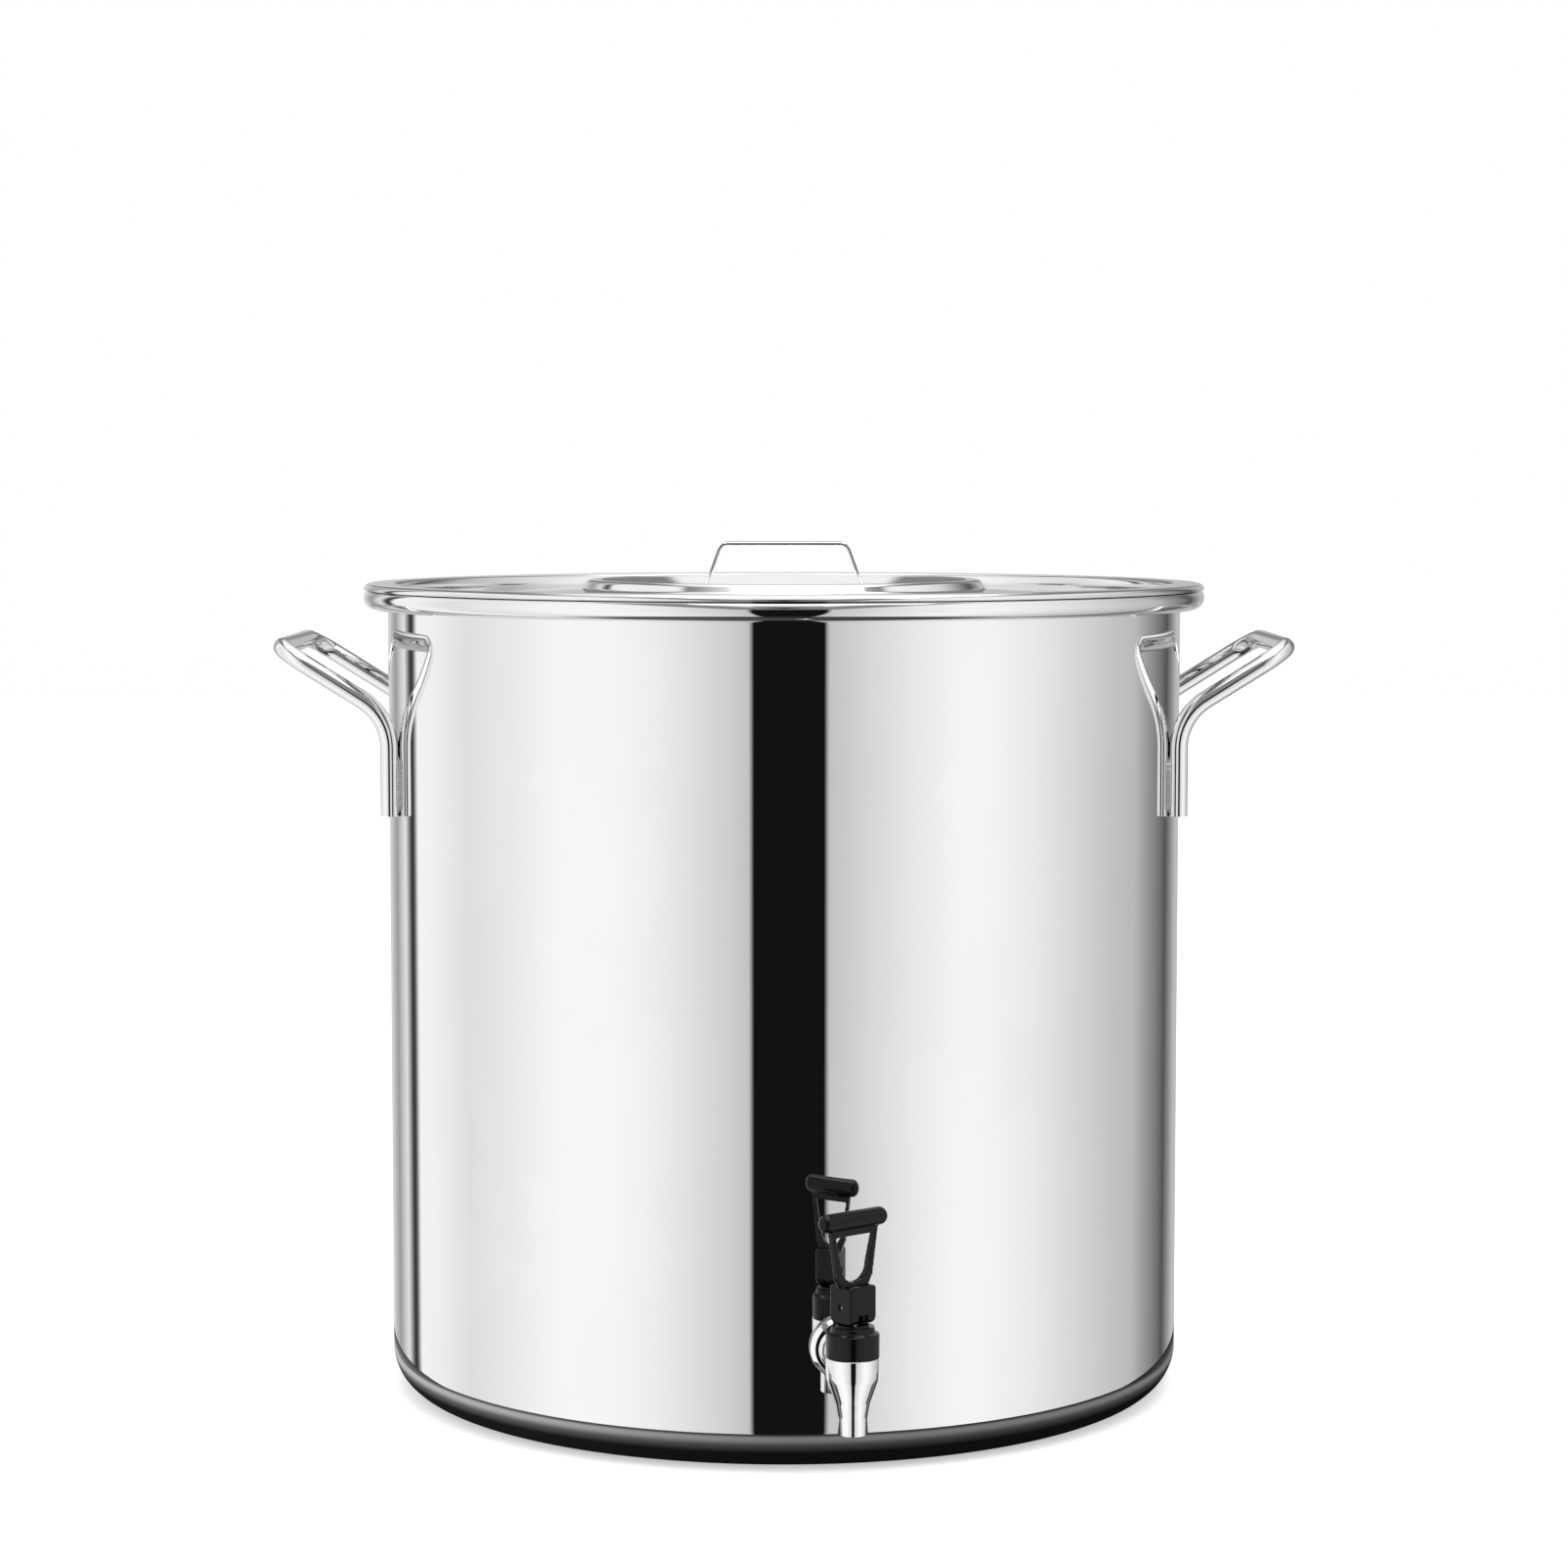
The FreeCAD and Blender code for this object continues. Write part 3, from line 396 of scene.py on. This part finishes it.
def make_leg_welds(side, name):
    """The narrow weld seams on both sides of both legs, where the rod meets the wall."""
    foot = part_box(name)[0][2] + 1.5 * MM
    seam_height, seam_radius, seam_offset, steps = 28 * MM, 1.3 * MM, 2.7 * MM, 56
    seam_lift, corners = 0.6 * MM, 10
    outward = handle_leg_place(side)[1]
    across = Vector((-outward.y, outward.x, 0))
    seams = bmesh.new()
    for end in (1, -1):
        for edge in (1, -1):
            middle = outward * (POT_RADIUS + seam_lift) + across * (edge * seam_offset)
            rings = []
            for step in range(steps + 1):
                share = step / steps
                ripple = 1 + 0.10 * math.sin(step * 1.9) + 0.05 * math.sin(step * 4.3 + edge)
                radius = seam_radius * ripple * min(1, 6 * share + 0.15, 6 * (1 - share) + 0.15)
                ring = []
                for corner in range(corners):
                    angle = 2 * math.pi * corner / corners
                    spot = middle + (outward * math.cos(angle) + across * math.sin(angle)) * radius
                    ring.append(seams.verts.new((spot.x, end * spot.y, foot + seam_height * share)))
                rings.append(ring)
            join_rings(seams, rings)
    return finished(name.replace("loop", "welds"), seams)


def make_lid_strap():
    """The strap handle on the lid: a bent strip with rounded feet and softened edges."""
    low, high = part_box("lid_strap")
    sheet, bend, foot, shoulder = 1.5 * MM, 5 * MM, 14 * MM, 31.5 * MM
    half_width = (high[1] - low[1]) / 2
    floor, top = low[2] + sheet / 2, high[2] - sheet / 2
    ankle = high[0] - foot
    run = bent_run([
        (low[0], 0, floor), (-ankle, 0, floor), (-shoulder, 0, top),
        (shoulder, 0, top), (ankle, 0, floor), (high[0], 0, floor),
    ], [bend] * 4)
    foot_steps = [1 - math.cos(math.pi / 2 * step / 10) for step in range(1, 10)]
    corner_radius = foot - 2 * sheet
    left = [Vector((low[0] + corner_radius * share, 0, floor)) for share in foot_steps]
    right = [Vector((high[0] - corner_radius * share, 0, floor)) for share in reversed(foot_steps)]
    run = [run[0]] + left + run[1:-1] + right + [run[-1]]
    soft = 0.45 * MM
    strap = bmesh.new()
    rings = []
    for index, spot in enumerate(run):
        along = (run[min(index + 1, len(run) - 1)] - run[max(index - 1, 0)]).normalized()
        normal = Vector((-along.z, 0, along.x))
        inset = max(0, corner_radius - min(spot.x - low[0], high[0] - spot.x))
        half = half_width - corner_radius + math.sqrt(max(0, corner_radius ** 2 - inset ** 2))
        thick = sheet / 2
        section = [
            (half - soft, thick), (half, thick - soft),
            (half, soft - thick), (half - soft, -thick),
            (soft - half, -thick), (-half, soft - thick),
            (-half, thick - soft), (soft - half, thick),
        ]
        rings.append([
            strap.verts.new(spot + Vector((0, across, 0)) + normal * rise)
            for across, rise in section])
    join_rings(strap, rings)
    return finished("lid_strap_handle", strap, 35)


def make_strap_welds():
    """Two shallow spot-weld marks on each foot of the strap."""
    low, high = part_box("lid_strap")
    face = low[2] + 1.5 * MM
    from_end, from_middle = 7 * MM, 9 * MM
    marks = bmesh.new()
    for x in (low[0] + from_end, high[0] - from_end):
        for y in (-from_middle, from_middle):
            rings = []
            for radius, rise in ((2.6, -0.1), (2.4, 0.12), (1.9, 0.2), (1.3, 0.06), (0.2, 0.02)):
                rings.append([
                    marks.verts.new((
                        x + radius * MM * math.cos(math.pi * step / 12),
                        y + radius * MM * math.sin(math.pi * step / 12),
                        face + rise * MM))
                    for step in range(24)])
            join_rings(marks, rings)
    return finished("strap_spot_welds", marks, 60)


# ---------------------------------------------------------------- tap
def make_tap_body():
    """The chromed casting: straight nozzle, bell, valve chamber and neck."""
    low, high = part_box("tap_body")
    bottom, neck_top = low[2] / MM, high[2] / MM
    bore, nozzle, full, neck, chamber = 4.75, 6.8, 12.35, 10, 8.8
    shoulder, seat = 64.5, 54
    outline = rounded([
        (bore, bottom, 0),
        (nozzle, bottom, 0.4),
        (nozzle, bottom + 8.5, 9),
        (8.1, 44.0, 10),
        (12.1, 54.6, 8),
        (full, 58.4, 6),
        (full, shoulder, 0.3),
        (neck, shoulder, 0),
        (neck, neck_top, 0.3),
        (chamber, neck_top, 0),
        (chamber, seat, 0),
        (bore, seat, 0),
    ], steps=10)
    body = lathe("tap_casting", scaled(outline), segments=128)
    body.data.transform(TAP_PLACE)
    smooth(body, 35)
    return body


def make_tap_shank():
    """The shank from the body through the wall: a flared stub, a collar and a threaded end."""
    start, end = 9.4, 57.0
    bore, stub, rod, collar, unthreaded = 3.2, 6.6, 4.7, 8.4, 7.3
    outline = rounded([
        (bore, start, 0), (stub, start, 0), (stub, 11.5, 1.5), (rod, 14.5, 2.5), (rod, 27, 3),
        (collar, 31, 1.0), (collar, 34, 0), (unthreaded, 34, 0), (unthreaded, 43, 0),
    ], steps=6)
    pitch, crest, root, plain_end = 1.3, 7.9, 7.2, 0.6
    turn = 43.5
    while turn + pitch < end - plain_end:
        outline += [(root, turn), (crest, turn + pitch * 0.4), (crest, turn + pitch * 0.6)]
        turn += pitch
    outline += [(root, turn), (root, end), (bore, end)]
    shank = lathe("tap_shank", scaled(outline), segments=96)
    shank.data.transform(SHANK_PLACE)
    smooth(shank, 35)
    return shank


def make_tap_flange():
    """The chromed cup washer that covers the outer seal."""
    bore, rim, front, back = 8.0, 14.15, 34.0, 38.6
    outline = rounded([
        (bore, front, 0), (9.4, front, 0.5), (10.0, 35.6, 0.8), (12.2, 36.0, 1.5),
        (rim, 37.3, 0.9), (rim, back, 0.2), (bore, back, 0),
    ], steps=8)
    flange = lathe("tap_cup_washer", scaled(outline), segments=128)
    flange.data.transform(SHANK_PLACE)
    smooth(flange, 35)
    return flange


def make_lock_nut():
    """The hexagon nut inside the pot, with softened corners."""
    flats, thickness, start = 22 * MM, 6.5 * MM, 46.5 * MM
    corner = flats / math.sqrt(3)
    nut = bmesh.new()
    bmesh.ops.create_cone(
        nut, cap_ends=True, segments=6, radius1=corner, radius2=corner, depth=thickness,
        matrix=SHANK_PLACE @ Matrix.Translation((0, 0, start + thickness / 2)))
    bmesh.ops.bevel(
        nut, geom=nut.edges[:], offset=0.8 * MM, segments=4, profile=0.5, affect="EDGES")
    return finished("lock_nut_hexagon", nut, 25)


def make_tap_bonnet():
    """The moulded screw cap over the valve chamber."""
    thread, skirt, spring_room, collar, stem_bore = 10.1, 12.15, 7.0, 7.5, 2.65
    bottom, inner_shoulder, spring_roof, cap, top = 64.5, 72.2, 75.6, 78.6, 79.6
    outline = rounded([
        (thread, bottom, 0),
        (skirt, bottom, 0.5),
        (skirt, 75.2, 0.9),
        (10.2, 76.3, 0.6),
        (9.7, cap, 0.7),
        (collar, cap, 0.3),
        (collar, top, 0.4),
        (stem_bore, top, 0.2),
        (stem_bore, spring_roof, 0),
        (spring_room, spring_roof, 0),
        (spring_room, inner_shoulder, 0),
        (thread, inner_shoulder, 0),
    ], steps=6)
    bonnet = lathe("tap_cap", scaled(outline), segments=128)
    bonnet.data.transform(TAP_PLACE)
    smooth(bonnet, 35)
    return bonnet


def make_tap_lever():
    """The moulded lever: the CAD lever's form with every edge softened."""
    source = frame["nodes"]["tap_lever"]
    form = mesh_object("lever_form", source.data.copy())
    remesh = form.modifiers.new("remesh", "REMESH")
    remesh.mode = "VOXEL"
    remesh.voxel_size = 0.42 * MM
    soften = form.modifiers.new("soften", "SMOOTH")
    soften.factor = 0.5
    soften.iterations = 6
    graph = bpy.context.evaluated_depsgraph_get()
    data = bpy.data.meshes.new_from_object(form.evaluated_get(graph))
    bpy.data.objects.remove(form)
    data.name = "lever_moulding"
    lever = mesh_object("lever_moulding", data)
    smooth(lever, 60)
    return lever


# ---------------------------------------------------------------- materials
def new_material(name):
    """A node material and its shader."""
    material = bpy.data.materials.new(name)
    material.use_nodes = True
    shader = material.node_tree.nodes["Principled BSDF"]
    return material, shader


def node(material, kind, **values):
    """A node whose inputs are set by name."""
    made = material.node_tree.nodes.new(kind)
    for key, value in values.items():
        made.inputs[key.replace("_", " ")].default_value = value
    return made


def link(material, source, target):
    material.node_tree.links.new(source, target)


def ramp(material, source, stops):
    """A colour ramp of grey stops (position, value)."""
    made = material.node_tree.nodes.new("ShaderNodeValToRGB")
    while len(made.color_ramp.elements) < len(stops):
        made.color_ramp.elements.new(0.5)
    for element, (position, value) in zip(made.color_ramp.elements, stops):
        element.position = position
        element.color = (value, value, value, 1)
    link(material, source, made.inputs["Fac"])
    return made.outputs["Color"]


def metal(name, colour, roughness, brushing, brush_scale, brush_bump, dents):
    """Polished metal: fine lines along one direction, soft smudges and slight waviness."""
    material, shader = new_material(name)
    shader.inputs["Metallic"].default_value = 1.0
    place = material.node_tree.nodes.new("ShaderNodeTexCoord")
    stretch = node(material, "ShaderNodeMapping", Scale=brushing)
    link(material, place.outputs["Object"], stretch.inputs["Vector"])
    lines = node(material, "ShaderNodeTexNoise", Scale=brush_scale, Detail=3.0, Roughness=0.6)
    link(material, stretch.outputs["Vector"], lines.inputs["Vector"])
    smudges = node(material, "ShaderNodeTexNoise", Scale=9.0, Detail=5.0, Roughness=0.6)
    link(material, place.outputs["Object"], smudges.inputs["Vector"])
    tone = ramp(material, smudges.outputs["Fac"], [(0.3, colour * 0.96), (0.7, colour)])
    link(material, tone, shader.inputs["Base Color"])
    rough = ramp(
        material, smudges.outputs["Fac"], [(0.35, roughness), (0.75, roughness * 2.2)])
    link(material, rough, shader.inputs["Roughness"])
    fine = node(material, "ShaderNodeBump", Strength=brush_bump, Distance=0.0001)
    link(material, lines.outputs["Fac"], fine.inputs["Height"])
    waves = node(material, "ShaderNodeTexNoise", Scale=7.0, Detail=1.0)
    link(material, place.outputs["Object"], waves.inputs["Vector"])
    broad = node(material, "ShaderNodeBump", Strength=dents, Distance=0.002)
    link(material, waves.outputs["Fac"], broad.inputs["Height"])
    link(material, fine.outputs["Normal"], broad.inputs["Normal"])
    link(material, broad.outputs["Normal"], shader.inputs["Normal"])
    return material


def plastic(name, colour, roughness, grain, gloss=0.5):
    """Moulded plastic with a very fine grain and slight handling marks."""
    material, shader = new_material(name)
    shader.inputs["Specular IOR Level"].default_value = gloss
    place = material.node_tree.nodes.new("ShaderNodeTexCoord")
    speckle = node(material, "ShaderNodeTexNoise", Scale=2500.0, Detail=2.0)
    link(material, place.outputs["Object"], speckle.inputs["Vector"])
    marks = node(material, "ShaderNodeTexNoise", Scale=120.0, Detail=4.0)
    link(material, place.outputs["Object"], marks.inputs["Vector"])
    tone = ramp(material, marks.outputs["Fac"], [(0.35, colour * 0.8), (0.7, colour * 1.3)])
    link(material, tone, shader.inputs["Base Color"])
    rough = ramp(material, marks.outputs["Fac"], [(0.35, roughness), (0.7, roughness * 1.6)])
    link(material, rough, shader.inputs["Roughness"])
    bump = node(material, "ShaderNodeBump", Strength=grain, Distance=0.00005)
    link(material, speckle.outputs["Fac"], bump.inputs["Height"])
    link(material, bump.outputs["Normal"], shader.inputs["Normal"])
    return material


# ---------------------------------------------------------------- surroundings
def studio_world():
    """The studio as the steel mirrors it: pale walls, a dark gap in front, two grey flags above.

    The camera sees plain white instead.
    """
    world = bpy.data.worlds.new("studio")
    bpy.context.scene.world = world
    world.use_nodes = True
    nodes = world.node_tree.nodes
    links = world.node_tree.links
    nodes.clear()

    def math_node(operation, first, second):
        """A math node's output, from sockets or plain numbers."""
        made = nodes.new("ShaderNodeMath")
        made.operation = operation
        for socket, value in zip(made.inputs, (first, second)):
            if isinstance(value, float):
                socket.default_value = value
            else:
                links.new(value, socket)
        return made.outputs[0]

    def fade(value, start, end):
        """Rises smoothly from 0 at the start to 1 at the end."""
        made = nodes.new("ShaderNodeMapRange")
        made.interpolation_type = "SMOOTHSTEP"
        made.inputs["From Min"].default_value = start
        made.inputs["From Max"].default_value = end
        links.new(value, made.inputs["Value"])
        return made.outputs["Result"]

    def blended(under, factor, tone):
        """A grey tone laid over what is under it, by a factor."""
        made = nodes.new("ShaderNodeMix")
        made.data_type = "RGBA"
        links.new(factor, made.inputs["Factor"])
        links.new(under, made.inputs["A"])
        made.inputs["B"].default_value = (tone, tone, tone, 1)
        return made.outputs["Result"]

    place = nodes.new("ShaderNodeTexCoord")
    split = nodes.new("ShaderNodeSeparateXYZ")
    links.new(place.outputs["Generated"], split.inputs["Vector"])
    forward = math_node("MULTIPLY", split.outputs["Y"], -1.0)
    azimuth = math_node("ARCTAN2", split.outputs["X"], forward)
    share = nodes.new("ShaderNodeMapRange")
    share.inputs["From Min"].default_value = -math.pi
    share.inputs["From Max"].default_value = math.pi
    links.new(azimuth, share.inputs["Value"])
    walls = nodes.new("ShaderNodeValToRGB")
    # degrees round from the front, towards +X, and the wall's tone there
    stops = [
        (-180, 0.45), (-165, 0.60), (-152, 0.30), (-142, 0.72), (-137, 0.04), (-134, 0.04),
        (-131, 0.88), (-120, 0.86), (-102, 0.73), (-83, 0.82), (-66, 0.93), (-50, 0.93),
        (-39, 0.87), (-32, 0.81), (-25, 0.73), (-15, 0.62), (-9.5, 0.54), (-9.3, 0.006),
        (12.2, 0.006), (12.4, 0.54), (25, 0.69), (36, 0.80), (50, 0.915), (58, 0.915),
        (74, 0.82), (92, 0.665), (108, 0.545), (120, 0.485), (128, 0.32), (145, 0.08),
        (159, 0.45), (180, 0.45),
    ]
    while len(walls.color_ramp.elements) < len(stops):
        walls.color_ramp.elements.new(0.5)
    for element, (degrees, value) in zip(walls.color_ramp.elements, stops):
        element.position = (degrees + 180) / 360
        element.color = (value, value, value, 1)
    links.new(share.outputs["Result"], walls.inputs["Fac"])
    up = split.outputs["Z"]
    ceiling_tone, floor_tone, flag_tone, flag_lean = 0.9, 0.03, 0.22, 0.62
    shade = blended(walls.outputs["Color"], fade(up, 0.35, 0.8), ceiling_tone)
    shade = blended(shade, fade(up, -0.80, -0.94), floor_tone)
    sideways = math_node("ABSOLUTE", split.outputs["X"], 0.0)
    lean = math_node("MULTIPLY", up, flag_lean)
    away = math_node("ABSOLUTE", math_node("SUBTRACT", sideways, lean), 0.0)
    flag = math_node("MULTIPLY", fade(away, 0.18, 0.12), fade(up, 0.09, 0.14))
    flag = math_node("MULTIPLY", flag, fade(up, 0.90, 0.78))
    shade = blended(shade, flag, flag_tone)
    mirrored = nodes.new("ShaderNodeBackground")
    links.new(shade, mirrored.inputs["Color"])
    mirrored.inputs["Strength"].default_value = 1.18
    plain = nodes.new("ShaderNodeBackground")
    plain.inputs["Color"].default_value = (1, 1, 1, 1)
    path = nodes.new("ShaderNodeLightPath")
    choose = nodes.new("ShaderNodeMixShader")
    links.new(path.outputs["Is Camera Ray"], choose.inputs["Fac"])
    links.new(mirrored.outputs["Background"], choose.inputs[1])
    links.new(plain.outputs["Background"], choose.inputs[2])
    out = nodes.new("ShaderNodeOutputWorld")
    links.new(choose.outputs["Shader"], out.inputs["Surface"])


def make_floor():
    """The plain pale floor. Mirror reflections see the studio in its place."""
    half_width = 6.0
    mesh = bmesh.new()
    bmesh.ops.create_grid(mesh, x_segments=1, y_segments=1, size=half_width)
    data = bpy.data.meshes.new("floor")
    mesh.to_mesh(data)
    mesh.free()
    floor = mesh_object("floor", data)
    material, shader = new_material("floor_white")
    shader.inputs["Base Color"].default_value = (0.93, 0.93, 0.93, 1)
    shader.inputs["Roughness"].default_value = 0.7
    shader.inputs["Emission Color"].default_value = (1, 1, 1, 1)
    shader.inputs["Emission Strength"].default_value = 0.48
    data.materials.append(material)
    floor.visible_glossy = False


def make_painted_foot_shadow():
    """Painted shadow and reflection round the pot's foot: a glowing graded ring on the floor, which
    only mirror reflections see.
    """
    inner, outer, steps, lift = 150 * MM, 245 * MM, 96, 0.2 * MM
    mesh = bmesh.new()
    bmesh.ops.create_circle(mesh, cap_ends=False, segments=steps, radius=inner)
    rim = bmesh.ops.extrude_edge_only(mesh, edges=mesh.edges[:])["geom"]
    for vertex in (item for item in rim if isinstance(item, bmesh.types.BMVert)):
        vertex.co *= outer / inner
    data = bpy.data.meshes.new("painted_foot_shadow")
    mesh.to_mesh(data)
    mesh.free()
    shade = mesh_object("painted_foot_shadow", data)
    shade.location.z = lift
    material, shader = new_material("painted_foot_shadow_glow")
    shader.inputs["Base Color"].default_value = (0, 0, 0, 1)
    shader.inputs["Specular IOR Level"].default_value = 0.0
    place = material.node_tree.nodes.new("ShaderNodeTexCoord")
    radius = material.node_tree.nodes.new("ShaderNodeVectorMath")
    radius.operation = "LENGTH"
    link(material, place.outputs["Object"], radius.inputs[0])
    reach = node(material, "ShaderNodeMapRange", From_Min=inner, From_Max=outer)
    link(material, radius.outputs["Value"], reach.inputs["Value"])
    # painted shadow and reflection: grey glow bands, near black next to the pot and lighter further
    # out, which the mirror foot shows as its shading
    rings = ramp(material, reach.outputs["Result"], [
        (0.0, 0.004), (0.50, 0.01), (0.60, 0.10), (0.70, 0.34), (0.80, 0.36), (0.88, 0.12),
        (1.0, 0.03)])
    link(material, rings, shader.inputs["Emission Color"])
    split = material.node_tree.nodes.new("ShaderNodeSeparateXYZ")
    link(material, place.outputs["Object"], split.inputs["Vector"])
    # painted light: the ring glows brighter towards -X, on the left side, and evenly from the
    # middle on towards +X
    side = node(
        material, "ShaderNodeMapRange", From_Min=-outer, From_Max=0.0, To_Min=1.7, To_Max=0.6)
    link(material, split.outputs["X"], side.inputs["Value"])
    link(material, side.outputs["Result"], shader.inputs["Emission Strength"])
    data.materials.append(material)
    shade.visible_camera = False
    shade.visible_diffuse = False
    shade.visible_shadow = False


def make_camera():
    """The photograph's viewpoint: far off, a little above the rim, looking slightly down."""
    distance, rim_angle, pitch = 1.9, math.radians(1.6), 4.63
    height_over_rim = distance * math.tan(rim_angle)
    data = bpy.data.cameras.new("camera")
    camera = bpy.data.objects.new("camera", data)
    bpy.context.scene.collection.objects.link(camera)
    camera.location = (0, -distance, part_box("pot_shell")[1][2] + height_over_rim)
    camera.rotation_euler = (math.radians(90 - pitch), 0, 0)
    data.sensor_width = 36
    data.lens = 86.3
    data.clip_end = 50
    bpy.context.scene.camera = camera


def make_lights():
    """One large soft light overhead."""
    data = bpy.data.lights.new("softbox", "AREA")
    data.size = 2.5
    data.energy = 30
    softbox = bpy.data.objects.new("softbox", data)
    bpy.context.scene.collection.objects.link(softbox)
    softbox.location = (0.3, -0.6, 2.8)
    softbox.rotation_euler = (math.radians(12), 0, 0)


# ---------------------------------------------------------------- build
steel = metal("mirror_steel", 0.86, 0.012, (1, 1, 60), 18.0, 0.008, 0.006)
satin = metal("satin_steel", 0.80, 0.24, (1, 1, 60), 30.0, 0.15, 0.004)
pressed = metal("pressed_steel", 0.84, 0.05, (1, 1, 1), 400.0, 0.03, 0.02)
rod_steel = metal("rod_steel", 0.86, 0.035, (30, 30, 1), 60.0, 0.02, 0.0)
weld_steel = metal("weld_steel", 0.66, 0.24, (1, 1, 1), 900.0, 0.25, 0.0)
chrome = metal("chrome", 0.90, 0.02, (1, 1, 1), 700.0, 0.005, 0.0)
fittings = metal("fitting_steel", 0.62, 0.18, (1, 1, 1), 700.0, 0.1, 0.0)
pin_steel = metal("pin_steel", 0.30, 0.25, (1, 1, 1), 700.0, 0.05, 0.0)
black = plastic("black_plastic", 0.0025, 0.06, 0.04, gloss=0.22)
rubber = plastic("silicone", 0.6, 0.45, 0.2)

CAD_MATERIALS = {
    "polished_steel": rod_steel, "chrome_plate": chrome, "plain_steel": fittings,
    "black_plastic": black, "silicone": rubber,
}
slots = {entry["node"]: entry["material_slot"] for entry in frame["record"]["subparts"]}
for name, cad in frame["nodes"].items():
    for index in range(len(cad.material_slots)):
        cad.material_slots[index].material = CAD_MATERIALS[slots[name]]
for pin_slot in frame["nodes"]["lever_pin"].material_slots:
    pin_slot.material = pin_steel


def place_piece(piece, material, body, replaced=None):
    """Give a piece its material, its body and the CAD node that it stands for."""
    piece.data.materials.clear()
    piece.data.materials.append(material)
    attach(piece, body)
    if replaced:
        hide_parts(replaced)


pot = make_pot()
place_piece(pot, steel, "kettle", "pot_shell")
finish_inside(pot, steel, satin)
place_piece(make_lid(), pressed, "lid", "lid_shell")
place_piece(make_lid_strap(), rod_steel, "lid", "lid_strap")
place_piece(make_strap_welds(), weld_steel, "lid")
for side, name in ((1, "right_handle_loop"), (-1, "left_handle_loop")):
    place_piece(make_handle_loop(side, name), rod_steel, "kettle", name)
    place_piece(make_leg_welds(side, name), weld_steel, "kettle")
place_piece(make_tap_body(), chrome, "kettle", "tap_body")
place_piece(make_tap_shank(), chrome, "kettle")
place_piece(make_tap_flange(), chrome, "kettle", "tap_flange")
place_piece(make_lock_nut(), fittings, "kettle", "lock_nut")
place_piece(make_tap_bonnet(), black, "kettle", "tap_bonnet")
place_piece(make_tap_lever(), black, "lever", "tap_lever")

studio_world()
make_floor()
make_painted_foot_shadow()
make_lights()
make_camera()
bpy.context.scene.view_settings.view_transform = "Standard"
